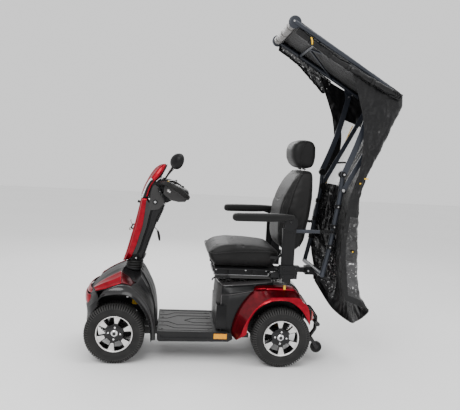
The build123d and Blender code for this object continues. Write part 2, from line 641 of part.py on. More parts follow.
# ---- canopy -------------------------------------------------------------------------------------
def canopy_base():
    upright_path = [at(1182, 537, 230), at(1216, 704, 230), at(1236, 850, 230), at(1258, 1000, 230),
                    at(1264, 1128, 230)]
    post = tube(upright_path, 14, 60, 2.5)
    collars = joined([rod(at(s, z - 10, 230), at(s + 4, z + 10, 230), 20)
                      for s, z in ((1216, 704), (1233, 822), (1249, 940))])
    hubs = cross_bar(*LINK_PIVOT, 22, 216, 240) + cross_bar(*ARM_PIVOT, 22, 216, 240)
    pins = cross_bar(*LINK_PIVOT, 7, 235, 258) + cross_bar(*ARM_PIVOT, 7, 235, 268)
    strut = plate([(998, 782), (998, 806), (1240, 806), (1240, 786)], 262, 274)
    strut = strut + block(1216, 1244, 786, 806, 228, 274) + block(996.5, 1016, 778, 806, 262, 290)
    side = both_sides(joined([post, collars, hubs, pins, strut]))
    cross = cross_bar(1182, 537, 14, -232, 232)
    spine = block(924.3, 1190, 506, 536, -20, 20)
    box = block(1130, 1205, 495, 545, -34, 34)
    foot = block(890, 930, 512.2, 536, -60, 60)
    return joined([side, cross, spine, box, foot])


def link_bar(low, high, width, side_from, side_to, bow):
    """A flat bar between two pivots, bowed in the middle."""
    ds, dz = high[0] - low[0], high[1] - low[1]
    length = math.hypot(ds, dz)
    across = (-dz / length, ds / length)
    left, right = [], []
    for step in range(9):
        part = step / 8
        swell = bow * math.sin(math.pi * part)
        mid = (low[0] + ds * part + across[0] * swell, low[1] + dz * part + across[1] * swell)
        left.append((mid[0] + across[0] * width / 2, mid[1] + across[1] * width / 2))
        right.append((mid[0] - across[0] * width / 2, mid[1] - across[1] * width / 2))
    bar = plate(left + right[::-1], side_from, side_to)
    return bar + cross_bar(*low, width / 2, side_from, side_to) + cross_bar(*high, width / 2, side_from, side_to)


def canopy_arms():
    bar = link_bar(ARM_PIVOT, ROOF_PIVOT, 34, 253, 260, -16)
    holes = cross_bar(*ARM_PIVOT, 7 + RUNNING_FIT, 250, 262) + cross_bar(*ROOF_PIVOT, 7 + RUNNING_FIT, 250, 262)
    return both_sides(bar - holes)


def canopy_links():
    bar = link_bar(LINK_PIVOT, ROOF_LINK_PIN, 28, 244, 250, 0)
    bar = bar + cross_bar(*ROOF_LINK_PIN, LINK_EYE_R + 8, 244, 250)
    holes = cross_bar(*LINK_PIVOT, 7 + RUNNING_FIT, 240, 252) + cross_bar(*ROOF_LINK_PIN, LINK_EYE_R, 240, 252)
    return both_sides(bar - holes)


def roof_frame():
    rail = tube([at(*ROOF_FRONT, RAIL_SIDE), at(*ROOF_REAR, RAIL_SIDE)], 12, 0, 2)
    hanger = plate([(1380, 1684), (1440, 1650), (1428, 1616), (1413, 1609), (1398, 1616)], 264, 270)
    rear_hanger = plate([(1518, 1608), (1552, 1590), (1556, 1556), (1540, 1545), (1526, 1552)], 264, 270)
    pins = cross_bar(*ROOF_PIVOT, 7, 251, 272) + cross_bar(*ROOF_LINK_PIN, 6, 242, 272)
    disc = cross_bar(*ROOF_FRONT, 36, 266, 280)
    side = both_sides(joined([rail, hanger, rear_hanger, pins, disc]))
    bars = joined([cross_bar(s, z, 9, -RAIL_SIDE, RAIL_SIDE) for s, z in (along_roof(0.24), along_roof(0.9))])
    braces = both_sides(rod(at(*along_roof(0.24), 0), at(*along_roof(0.6), RAIL_SIDE), 6))
    return joined([side, bars, braces])


def along_roof(part, lift=0.0):
    """A side-view point on the roof rails, or this far above them."""
    ds, dz = ROOF_REAR[0] - ROOF_FRONT[0], ROOF_REAR[1] - ROOF_FRONT[1]
    length = math.hypot(ds, dz)
    return (ROOF_FRONT[0] + ds * part - dz / length * lift, ROOF_FRONT[1] + dz * part + ds / length * lift)


def roof_panel():
    return strip([along_roof(0.06, 18), along_roof(0.5, 20), along_roof(1.0, 18)], 8, -262, 262)


def rolled_screens():
    """The windscreen rolled up along the front bar, and the near side curtain rolled under its rail."""
    front = cross_bar(*ROOF_FRONT, 30, -262, 262)
    side = rod(at(*along_roof(0.09, -44), 240), at(*along_roof(0.66, -44), 240), 22)
    return front + side


def canopy_curtain():
    """Back curtain hanging from the roof to the rear wheels, with side gussets."""
    rear = [(1574, 1556), (1516, 1420), (1458, 1278), (1384, 1100), (1356, 987), (1360, 820), (1373, 667),
            (1418, 462), (1462, 362), (1466, 240)]
    back = strip(rear, 5, -288, 288)
    low_front = [(1440, 236), (1350, 300), (1290, 415), (1262, 560), (1264, 704), (1285, 860), (1300, 1005)]
    near_front = low_front + [(1335, 1100), (1352, 1189), (1354, 1386), (1330, 1480), (1260, 1600)]
    near = plate(rear[::-1] + [(1290, 1640)] + near_front[::-1], 290, 294)
    far_front = low_front + [(1310, 1174), (1357, 1290), (1336, 1408), (1311, 1572), (1266, 1634),
                             (1089, 1740), (950, 1880)]
    far = plate(rear[::-1] + [(1250, 1745), (960, 1915)] + far_front[::-1], -294, -290)
    bridge = strip(rear, 5, 285, 291) + strip(rear, 5, -291, -285)
    return joined([back, bridge, near, far])


def build():
    save("chassis_frame", chassis_frame())
    save("batteries", batteries())
    save("floor_deck", floor_deck())
    save("front_cowl", front_cowl())
    save("red_trim", red_trim())
    save("lamps", lamps())
    save("tail_lamps", tail_lamps())
    save("seat_box", seat_box())
    save("rear_cover", rear_cover())
    save("rear_fenders", rear_fenders())
    save("rear_bumper", rear_bumper())
    save("rear_springs", rear_springs())
    save("knuckle_left", knuckle(1))
    save("knuckle_right", knuckle(-1))
    save("tie_rod", tie_rod())
    save("steering_stem", steering_stem())
    save("bellows", bellows())
    save("tiller_tube", tiller_tube())
    save("tiller_front", tiller_front())
    save("tiller_rear", tiller_rear())
    save("headlight", headlight())
    save("console", console())
    save("throttle", throttle())
    save("brake_lever", brake_lever())
    save("speed_dial", speed_dial())
    save("key", key())
    save("horn_button", button())
    save("light_button", mirror(button(), about=Plane.XZ))
    save("tilt_lever", tilt_lever())
    save("mirror_left", mirror_arm(1))
    save("mirror_right", mirror_arm(-1))
    wheel_tyre, wheel_rim = tyre(), rim()
    places = {"front_left": (0, FRONT_TRACK_HALF), "front_right": (0, -FRONT_TRACK_HALF),
              "rear_left": (WHEELBASE, REAR_TRACK_HALF), "rear_right": (WHEELBASE, -REAR_TRACK_HALF)}
    for name, (station, side) in places.items():
        save(f"tyre_{name}", place_wheel(wheel_tyre, station, side))
        save(f"rim_{name}", place_wheel(wheel_rim, station, side))
    save("rear_drive", rear_drive())
    save("anti_tip_left", anti_tip_wheel())
    save("anti_tip_right", mirror(anti_tip_wheel(), about=Plane.XZ))
    save("swivel_base", swivel_base())
    save("slide_plate", slide_plate())
    save("seat_cushion", seat_cushion())
    save("seat_backrest", with_headrest_holes(seat_backrest()))
    save("seat_headrest", seat_headrest())
    save("armrest_left", armrest())
    save("armrest_right", mirror(armrest(), about=Plane.XZ))
    save("arm_uprights", arm_uprights())
    save("swivel_lever", swivel_lever())
    save("slide_lever", slide_lever())
    save("recline_lever", recline_lever())
    save("canopy_base", canopy_base())
    save("canopy_arms", canopy_arms())
    save("canopy_links", canopy_links())
    save("roof_frame", roof_frame())
    save("roof_panel", roof_panel())
    save("rolled_screens", rolled_screens())
    save("canopy_curtain", canopy_curtain())


build()
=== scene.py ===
"""Looks of the four-wheeled mobility scooter with a folding canopy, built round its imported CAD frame.

Metres here, millimetres in the outlines. A place is (station, side, height): the station is measured
rearward from the front axle, the side towards the rider's left, and the height up from the ground.
"""
import math
import bpy
import bmesh
from mathutils import Matrix, Vector, noise


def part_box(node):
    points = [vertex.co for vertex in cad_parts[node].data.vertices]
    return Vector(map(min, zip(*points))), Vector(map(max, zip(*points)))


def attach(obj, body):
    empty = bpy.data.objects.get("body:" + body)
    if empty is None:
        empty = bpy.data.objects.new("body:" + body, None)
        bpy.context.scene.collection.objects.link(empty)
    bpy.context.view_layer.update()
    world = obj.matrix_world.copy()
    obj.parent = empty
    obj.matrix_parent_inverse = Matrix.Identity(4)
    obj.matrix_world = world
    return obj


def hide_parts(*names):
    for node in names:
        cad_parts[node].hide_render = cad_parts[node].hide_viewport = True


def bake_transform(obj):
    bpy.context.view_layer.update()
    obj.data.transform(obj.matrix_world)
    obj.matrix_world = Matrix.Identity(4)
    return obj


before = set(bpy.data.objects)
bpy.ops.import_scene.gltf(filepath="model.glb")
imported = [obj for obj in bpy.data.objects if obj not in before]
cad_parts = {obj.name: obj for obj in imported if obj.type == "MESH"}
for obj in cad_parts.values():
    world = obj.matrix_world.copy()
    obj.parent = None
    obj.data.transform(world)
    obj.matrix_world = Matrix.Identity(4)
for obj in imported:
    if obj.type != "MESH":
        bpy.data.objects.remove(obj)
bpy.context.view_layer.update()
axle_low, axle_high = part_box("tyre_front_left")
AXLE_X = (axle_low.x + axle_high.x) / 2
MM = 0.001
WELD_DISTANCE = 0.00005

WHEEL_HEIGHT = 170.0
WHEELBASE = 951.0
COLUMN_LEAN = math.radians(16.5)
TILT_PIVOT = (82.0, 520.0)
ARMREST_SIDE = 285.0
TYRE_STEPS = 96
LUGS = 72


# ---- places and shapes --------------------------------------------------------------------------
def at(station, side, height):
    """A point of the row frame, in metres."""
    return Vector((AXLE_X - station * MM, side * MM, height * MM))


def smooth_line(points, steps):
    """Points along a smooth curve through these points."""
    line = [Vector(p) for p in points]
    line = [2 * line[0] - line[1]] + line + [2 * line[-1] - line[-2]]
    found = []
    for i in range(1, len(line) - 2):
        before, start, end, after = line[i - 1:i + 3]
        for step in range(steps):
            t = step / steps
            found.append(0.5
                         * (2 * start + (end - before) * t
                            + (2 * before - 5 * start + 4 * end - after) * t ** 2
                            + (3 * start - before - 3 * end + after) * t ** 3))
    found.append(line[-2])
    return found


def even_line(points, count, smooth=True):
    """This many points, evenly spaced along the line."""
    fine = smooth_line(points, 12) if smooth else [Vector(p) for p in points]
    reach = [0.0]
    for a, b in zip(fine, fine[1:]):
        reach.append(reach[-1] + (b - a).length)
    found, i = [], 0
    for step in range(count):
        want = reach[-1] * step / (count - 1)
        while i < len(fine) - 2 and reach[i + 1] < want:
            i += 1
        part = (want - reach[i]) / max(reach[i + 1] - reach[i], 1e-9)
        found.append(fine[i].lerp(fine[i + 1], min(max(part, 0), 1)))
    return found


def turns(count):
    """This many angles, evenly round a circle."""
    return [math.tau * k / count for k in range(count)]


def squared(value, power):
    """A sine or cosine drawn out towards 1 or -1, so that a ring made with it has fuller corners."""
    return math.copysign(abs(value) ** power, value)


class Shape:
    """Points in millimetres (station, side, height) and faces, with the number of a finish on each face."""

    def __init__(self):
        self.points, self.faces, self.looks = [], [], []

    def add(self, points, faces, look=0):
        first = len(self.points)
        self.points += [Vector(p) for p in points]
        self.faces += [[first + i for i in face] for face in faces]
        self.looks += [look] * len(faces)
        return self

    def grid(self, rows, look=0, around=False, caps=False):
        """Rows of points joined into quads; around closes each row, caps close the two ends."""
        count = len(rows[0])
        points = [p for row in rows for p in row]
        span = count if around else count - 1
        faces = [(r * count + c, r * count + (c + 1) % count, (r + 1) * count + (c + 1) % count,
                  (r + 1) * count + c) for r in range(len(rows) - 1)
                 for c in range(span)]
        if caps:
            faces += [tuple(range(count))[::-1], tuple(range((len(rows) - 1) * count, len(rows) * count))]
        return self.add(points, faces, look)

    def plate(self, outline, side_from, side_to, look=0):
        """A side-view outline of (station, height) made solid between two sides."""
        rows = [[(s, side, z) for s, z in outline] for side in (side_from, side_to)]
        return self.grid(rows, look, around=True, caps=True)

    def block(self, station_from, station_to, side_from, side_to, low, high, look=0):
        outline = [(station_from, low), (station_to, low), (station_to, high), (station_from, high)]
        return self.plate(outline, side_from, side_to, look)

    def tube(self, points, radius, look=0, sides=14, steps=6, flat=1.0):
        """A round bar along a smooth line; radius may be one number or one for each point."""
        radii = radius if isinstance(radius, (list, tuple)) else [radius] * len(points)
        line = smooth_line([(*p, r) for p, r in zip(points, radii)], steps) if steps > 1 else \
            [Vector((*p, r)) for p, r in zip(points, radii)]
        path = [p.xyz for p in line]
        rows, across = [], None
        for i, here in enumerate(path):
            along = (path[min(i + 1, len(path) - 1)] - path[max(i - 1, 0)]).normalized()
            if across is None:
                across = along.orthogonal().normalized() if abs(along.y) > 0.99 else \
                    along.cross(Vector((0, 1, 0))).normalized()
            across = (across - along * across.dot(along)).normalized()
            other = along.cross(across)
            rows.append([here + line[i].w * (across * math.cos(a) + other * math.sin(a) * flat)
                         for a in turns(sides)])
        return self.grid(rows, look, around=True, caps=True)

    def turned(self, profile, centre, axis, look=0, steps=48, closed=False):
        """A profile of (radius, distance along the axis) turned round the axis."""
        centre, axis = Vector(centre), Vector(axis).normalized()
        across = axis.orthogonal().normalized()
        other = axis.cross(across)
        rows = [[centre + axis * d + r * (across * math.cos(a) + other * math.sin(a)) for r, d in profile]
                for a in turns(steps)]
        return self.grid(rows + rows[:1], look, around=closed)

    def panel(self, rails, columns, rows=4, looks=0, bulges=0.0, smooth=True):
        """A surface stretched over rails, each a line of (station, side, height), swollen between them."""
        lines = [even_line(rail, columns, smooth) for rail in rails]
        for i, (upper, lower) in enumerate(zip(lines, lines[1:])):
            bulge = bulges[i] if isinstance(bulges, (list, tuple)) else bulges
            look = looks[i] if isinstance(looks, (list, tuple)) else looks
            strip = []
            for r in range(rows + 1):
                swell = bulge * math.sin(math.pi * r / rows)
                strip.append([upper[c].lerp(lower[c], r / rows) + swell * self._outward(upper, lower, c)
                              for c in range(columns)])
            self.grid(strip, look)
        return self

    @staticmethod
    def _outward(upper, lower, c):
        along = upper[min(c + 1, len(upper) - 1)] - upper[max(c - 1, 0)]
        return along.cross(lower[c] - upper[c]).normalized()

    def mirrored(self):
        """The same shape on the other side."""
        twin = Shape()
        twin.points = [Vector((p.x, -p.y, p.z)) for p in self.points]
        twin.faces = [face[::-1] for face in self.faces]
        twin.looks = list(self.looks)
        return twin

    def both(self):
        twin = self.mirrored()
        first = len(self.points)
        self.points += twin.points
        self.faces += [[first + i for i in face] for face in twin.faces]
        self.looks += twin.looks
        return self


def make(name, shape, finishes, body, stands_for=(), sharp=32, thick=0.0, bevel=0.0):
    """A piece from a shape: its mesh, materials, body and what it stands for."""
    mesh = bpy.data.meshes.new(name)
    mesh.from_pydata([at(*p) for p in shape.points], [], [tuple(f) for f in shape.faces])
    mesh.polygons.foreach_set("material_index", shape.looks)
    work = bmesh.new()
    work.from_mesh(mesh)
    bmesh.ops.remove_doubles(work, verts=work.verts, dist=WELD_DISTANCE)
    bmesh.ops.dissolve_degenerate(work, edges=work.edges, dist=WELD_DISTANCE / 5)
    if not thick:
        bmesh.ops.recalc_face_normals(work, faces=work.faces)
    work.to_mesh(mesh)
    work.free()
    for finish in finishes if isinstance(finishes, (list, tuple)) else [finishes]:
        mesh.materials.append(finish)
    mesh.shade_smooth()
    mesh.set_sharp_from_angle(angle=math.radians(sharp))
    obj = bpy.data.objects.new(name, mesh)
    bpy.context.scene.collection.objects.link(obj)
    if thick:
        shell = obj.modifiers.new("thickness", "SOLIDIFY")
        shell.thickness, shell.offset = thick * MM, 0.0
    if bevel:
        edge = obj.modifiers.new("edges", "BEVEL")
        edge.width, edge.segments, edge.limit_method = bevel * MM, 2, "ANGLE"
        edge.angle_limit, edge.harden_normals = math.radians(40), True
    if body:
        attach(obj, body)
    if stands_for:
        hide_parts(*([stands_for] if isinstance(stands_for, str) else stands_for))
    return obj


# ---- finishes -----------------------------------------------------------------------------------
def texture(tree, kind, place, scale, **inputs):
    """A texture node of this scale, read at this place, with its other inputs set."""
    node = tree.nodes.new(kind)
    node.inputs["Scale"].default_value = scale
    for socket, value in inputs.items():
        node.inputs[socket].default_value = value
    tree.links.new(place, node.inputs["Vector"])
    return node


def ramp_between(tree, value, low, high):
    """A colour ramp that runs from its first colour at low to its second at high."""
    ramp = tree.nodes.new("ShaderNodeValToRGB")
    ramp.color_ramp.elements[0].position, ramp.color_ramp.elements[1].position = low, high
    tree.links.new(value, ramp.inputs["Fac"])
    return ramp


def overlaid(tree, colour, value, low, high, amount, over):
    """The colour with another one laid over it where the value rises from low to high."""
    mask = ramp_between(tree, value, low, high)
    strength = tree.nodes.new("ShaderNodeMath")
    strength.operation = "MULTIPLY"
    strength.inputs[1].default_value = amount
    tree.links.new(mask.outputs["Color"], strength.inputs[0])
    mix = tree.nodes.new("ShaderNodeMix")
    mix.data_type = "RGBA"
    factor, under, upper = mix.inputs[0], mix.inputs[6], mix.inputs[7]
    tree.links.new(strength.outputs[0], factor)
    tree.links.new(colour, under)
    upper.default_value = (*over, 1)
    return mix.outputs[2]


def bumped(tree, height, strength, distance):
    """A bump node driven by this height."""
    bump = tree.nodes.new("ShaderNodeBump")
    bump.inputs["Strength"].default_value = strength
    bump.inputs["Distance"].default_value = distance
    tree.links.new(height, bump.inputs["Height"])
    return bump


def finish(name, dark, light, rough, metal=0.0, coat=0.0, grain=0.0, grain_size=900.0, pattern="noise",
           blotch=6.0, wear=0.0, sheen=0.0, alpha=1.0, coat_rough=0.03, rough_spread=0.08, stretch=None,
           crumple=0.0, crumple_size=22.0, painted_glints=0.0):
    """A procedural finish: two tones, uneven gloss, a surface grain, lighter worn edges, and light specks from
    painted_glints that are painted highlights.
    """
    mat = bpy.data.materials.new(name)
    mat.use_nodes = True
    tree = mat.node_tree
    nodes, links = tree.nodes, tree.links
    shader = nodes["Principled BSDF"]
    place = stretched = nodes.new("ShaderNodeTexCoord").outputs["Object"]
    if stretch:
        mapping = nodes.new("ShaderNodeMapping")
        mapping.inputs["Scale"].default_value = stretch
        links.new(place, mapping.inputs["Vector"])
        stretched = mapping.outputs["Vector"]
    tone = texture(tree, "ShaderNodeTexNoise", place, blotch, Detail=5.0)
    ramp = ramp_between(tree, tone.outputs["Fac"], 0.32, 0.68)
    ramp.color_ramp.elements[0].color, ramp.color_ramp.elements[1].color = (*dark, 1), (*light, 1)
    colour = ramp.outputs["Color"]
    if wear:
        edge = nodes.new("ShaderNodeNewGeometry").outputs["Pointiness"]
        bare = [min(1, c * 2.5 + 0.02) for c in light]
        colour = overlaid(tree, colour, edge, 0.52, 0.62, wear, bare)
    # painted_glints lays light grey specks into the colour: painted highlights standing in for the glints of
    # crumpled film.
    if painted_glints:
        sparkle = texture(tree, "ShaderNodeTexNoise", place, 75.0, Detail=4.0)
        colour = overlaid(tree, colour, sparkle.outputs["Fac"], 0.60, 0.66, painted_glints, (0.75, 0.75, 0.75))
    links.new(colour, shader.inputs["Base Color"])
    gloss = nodes.new("ShaderNodeMapRange")
    gloss.inputs["To Min"].default_value = max(0.02, rough - rough_spread)
    gloss.inputs["To Max"].default_value = min(1.0, rough + rough_spread)
    links.new(tone.outputs["Fac"], gloss.inputs["Value"])
    links.new(gloss.outputs["Result"], shader.inputs["Roughness"])
    shader.inputs["Metallic"].default_value = metal
    # Dull black plastic, rubber and cloth would look grey with the full surface reflection.
    if metal < 0.2 and max(light) < 0.08:
        shader.inputs["Specular IOR Level"].default_value = 0.16
    shader.inputs["Coat Weight"].default_value = coat
    shader.inputs["Coat Roughness"].default_value = coat_rough
    shader.inputs["Alpha"].default_value = alpha
    if sheen:
        shader.inputs["Sheen Weight"].default_value = sheen
        shader.inputs["Sheen Roughness"].default_value = 0.4
    if grain:
        if pattern == "leather":
            cells = texture(tree, "ShaderNodeTexVoronoi", stretched, grain_size)
            cells.feature = "DISTANCE_TO_EDGE"
            height = cells.outputs["Distance"]
        elif pattern == "weave":
            cells = texture(tree, "ShaderNodeTexWave", stretched, grain_size, Distortion=1.5)
            cells.bands_direction = "DIAGONAL"
            height = cells.outputs["Fac"]
        else:
            cells = texture(tree, "ShaderNodeTexNoise", stretched, grain_size, Detail=3.0)
            height = cells.outputs["Fac"]
        bump = bumped(tree, height, min(1.0, grain), 0.0006)
        links.new(bump.outputs["Normal"], shader.inputs["Normal"])
        if crumple:
            folds = texture(tree, "ShaderNodeTexVoronoi", place, crumple_size)
            folds.feature = "SMOOTH_F1"
            crease = bumped(tree, folds.outputs["Distance"], crumple, 0.012)
            links.new(crease.outputs["Normal"], bump.inputs["Normal"])
    return mat


RED = finish("red_paint", (0.22, 0.0, 0.008), (0.33, 0.0, 0.013), 0.34, metal=0.9, coat=0.2, grain=0.06,
             grain_size=2600, blotch=40)
# A darker copy of the red paint: painted shade for faces turned away from the light.
RED_PAINTED_SHADE = finish("red_paint_painted_shade", (0.05, 0.0, 0.002), (0.09, 0.0, 0.004), 0.32, metal=0.8, coat=0.3,
                  grain=0.06, grain_size=2600, blotch=40)
SHELL = finish("moulded_grey", (0.010, 0.010, 0.0105), (0.015, 0.015, 0.0155), 0.45, grain=0.35,
               grain_size=1400, wear=0.25)
SHELL_LIGHT = finish("moulded_grey_light", (0.026, 0.0255, 0.0255), (0.036, 0.035, 0.035), 0.42, grain=0.3,
                     grain_size=1400, wear=0.2)
# Glossy grey for the seat box's crown, made lighter than the sides: real gloss with painted top light.
CROWN_GREY_PAINTED_LIGHT = finish("crown_grey_gloss_painted_light", (0.045, 0.043, 0.044), (0.062, 0.059, 0.060), 0.26, coat=0.6, grain=0.08,
                     grain_size=700, wear=0.15)
BLACK = finish("black_plastic", (0.0035, 0.0035, 0.004), (0.007, 0.007, 0.0075), 0.40, grain=0.25,
               grain_size=1500, wear=0.3)
BLACK_GLOSS = finish("gloss_black", (0.003, 0.003, 0.0035), (0.006, 0.006, 0.0065), 0.18, coat=0.4,
                     grain=0.05, wear=0.15)
# Near-black rubber laid in the tread grooves: painted shade between the lugs.
TREAD_PAINTED_SHADE = finish("tread_rubber_painted_shade", (0.0018, 0.0018, 0.0018), (0.004, 0.004, 0.004), 0.8, grain=0.4,
                grain_size=800, blotch=18)
TYRE = finish("tyre_rubber", (0.014, 0.014, 0.014), (0.023, 0.0225, 0.022), 0.66, grain=0.5, grain_size=800,
              blotch=18, wear=0.35)
MACHINED = finish("machined_alloy", (0.62, 0.61, 0.60), (0.80, 0.79, 0.78), 0.27, metal=0.9, grain=0.15,
                  grain_size=420, stretch=(1, 8, 1), blotch=25)
CHROME = finish("chrome", (0.70, 0.70, 0.71), (0.85, 0.85, 0.86), 0.10, metal=1.0, grain=0.03,
                rough_spread=0.04)
STEEL = finish("zinc_steel", (0.38, 0.38, 0.39), (0.55, 0.55, 0.56), 0.34, metal=0.9, grain=0.2,
               grain_size=500)
FRAME = finish("black_steel", (0.004, 0.004, 0.004), (0.009, 0.0088, 0.0085), 0.42, metal=0.2, grain=0.3,
               grain_size=500, wear=0.4)
CANOPY_METAL = finish("slate_powder_coat", (0.014, 0.017, 0.024), (0.022, 0.026, 0.036), 0.38, metal=0.25,
                      grain=0.35, grain_size=900, wear=0.3)
RUBBER = finish("boot_rubber", (0.004, 0.004, 0.004), (0.010, 0.0098, 0.0095), 0.48, grain=0.3,
                grain_size=600, wear=0.4)
MAT = finish("deck_rubber", (0.012, 0.012, 0.0125), (0.021, 0.0205, 0.0205), 0.50, grain=0.6, grain_size=420,
             wear=0.3)
VINYL = finish("black_vinyl", (0.0065, 0.0065, 0.0065), (0.011, 0.0107, 0.0107), 0.48, grain=0.32,
               grain_size=620, pattern="leather", sheen=0.05, wear=0.12)
CLOTH = finish("canopy_cloth", (0.0025, 0.0025, 0.003), (0.006, 0.006, 0.0065), 0.40, grain=0.4,
               grain_size=1500, pattern="weave", sheen=0.05, coat=0.25, coat_rough=0.2, crumple=0.5,
               crumple_size=24)
# Glossy film over cloth, with a few painted highlight specks in its colour.
CLOTH_WET = finish("film_on_cloth", (0.003, 0.003, 0.0035), (0.010, 0.010, 0.0105), 0.26, grain=0.3,
                   grain_size=1500, pattern="weave", coat=0.9, coat_rough=0.12, crumple=0.6,
                   crumple_size=30, painted_glints=0.12)
CLOTH_ROOF = finish("roof_cloth", (0.005, 0.005, 0.0055), (0.010, 0.010, 0.0105), 0.48, grain=0.5,
                    grain_size=1500, pattern="weave", sheen=0.2, crumple=0.12, crumple_size=14)
# Clear film on black; its many light specks are painted highlights of the crumpled film.
PVC_DARK = finish("clear_film_on_black", (0.012, 0.012, 0.013), (0.05, 0.05, 0.052), 0.14, coat=1.0,
                  grain=0.3, grain_size=60, crumple=0.9, crumple_size=34, painted_glints=0.85)
CLOTH_GREY = finish("screen_cloth", (0.035, 0.031, 0.029), (0.085, 0.077, 0.072), 0.36, grain=0.5,
                    grain_size=1500, pattern="weave", sheen=0.3)
PVC = finish("clear_pvc", (0.50, 0.51, 0.52), (0.74, 0.74, 0.75), 0.14, coat=0.6, alpha=0.42, grain=0.3,
             grain_size=60, crumple=0.6, crumple_size=20)
YELLOW = finish("yellow_plastic", (0.75, 0.42, 0.0), (0.90, 0.55, 0.0), 0.38, grain=0.3, grain_size=900)
AMBER = finish("amber_reflector", (0.72, 0.27, 0.0), (0.88, 0.38, 0.0), 0.22, metal=0.5, coat=0.3, grain=0.9,
               grain_size=320, pattern="leather")
LENS = finish("clear_lens", (0.55, 0.57, 0.60), (0.75, 0.77, 0.80), 0.12, coat=1.0, metal=0.35, grain=0.5,
              grain_size=160, pattern="leather")
RED_LENS = finish("red_lens", (0.35, 0.004, 0.004), (0.50, 0.01, 0.008), 0.15, coat=1.0, grain=0.7,
                  grain_size=260, pattern="leather")
GLASS = finish("mirror_glass", (0.80, 0.82, 0.84), (0.86, 0.88, 0.90), 0.04, metal=1.0, grain=0.02,
               rough_spread=0.01)
GREY_LIGHT = finish("canopy_cap_grey", (0.30, 0.29, 0.28), (0.38, 0.37, 0.36), 0.4, grain=0.2)

SHELL_GLOSS_DARK = finish("gloss_dark_grey", (0.010, 0.010, 0.0105), (0.016, 0.0157, 0.016), 0.26, coat=0.5,
                          grain=0.06, grain_size=700, wear=0.2)
SHELL_FACET = finish("moulded_grey_facet", (0.016, 0.0157, 0.0157), (0.023, 0.0225, 0.0225), 0.48, grain=0.4,
                     grain_size=1200, wear=0.2)
# A lighter copy of the moulded grey: painted light on the seat box's front face.
SHELL_FRONT_PAINTED_LIGHT = finish("moulded_grey_front_painted_light", (0.034, 0.033, 0.033), (0.046, 0.045, 0.045), 0.48, grain=0.35,
                     grain_size=1300, wear=0.15)
BLACK_SATIN = finish("black_satin", (0.005, 0.005, 0.0055), (0.010, 0.010, 0.0105), 0.30, grain=0.12,
                     grain_size=900, wear=0.3)
# Light grey gloss for the rear cover: a painted highlight standing in for the sheen on a dark panel.
REAR_COVER_PAINTED_HIGHLIGHT = finish("rear_cover_gloss_painted_highlight", (0.06, 0.056, 0.056), (0.09, 0.084, 0.084), 0.26, coat=0.7,
                     grain=0.05, grain_size=600, wear=0.15)
# A darker copy of the red paint for the fender's top band: painted shade.
RED_BAND_PAINTED_SHADE = finish("red_paint_band_painted_shade", (0.09, 0.0, 0.004), (0.145, 0.0, 0.006), 0.32, metal=0.8, coat=0.3,
                 grain=0.06, grain_size=2600, blotch=40)
VINYL_SMOOTH = finish("armrest_skin", (0.006, 0.006, 0.006), (0.010, 0.010, 0.010), 0.42, grain=0.2,
                      grain_size=900, pattern="leather", sheen=0.1, wear=0.3)


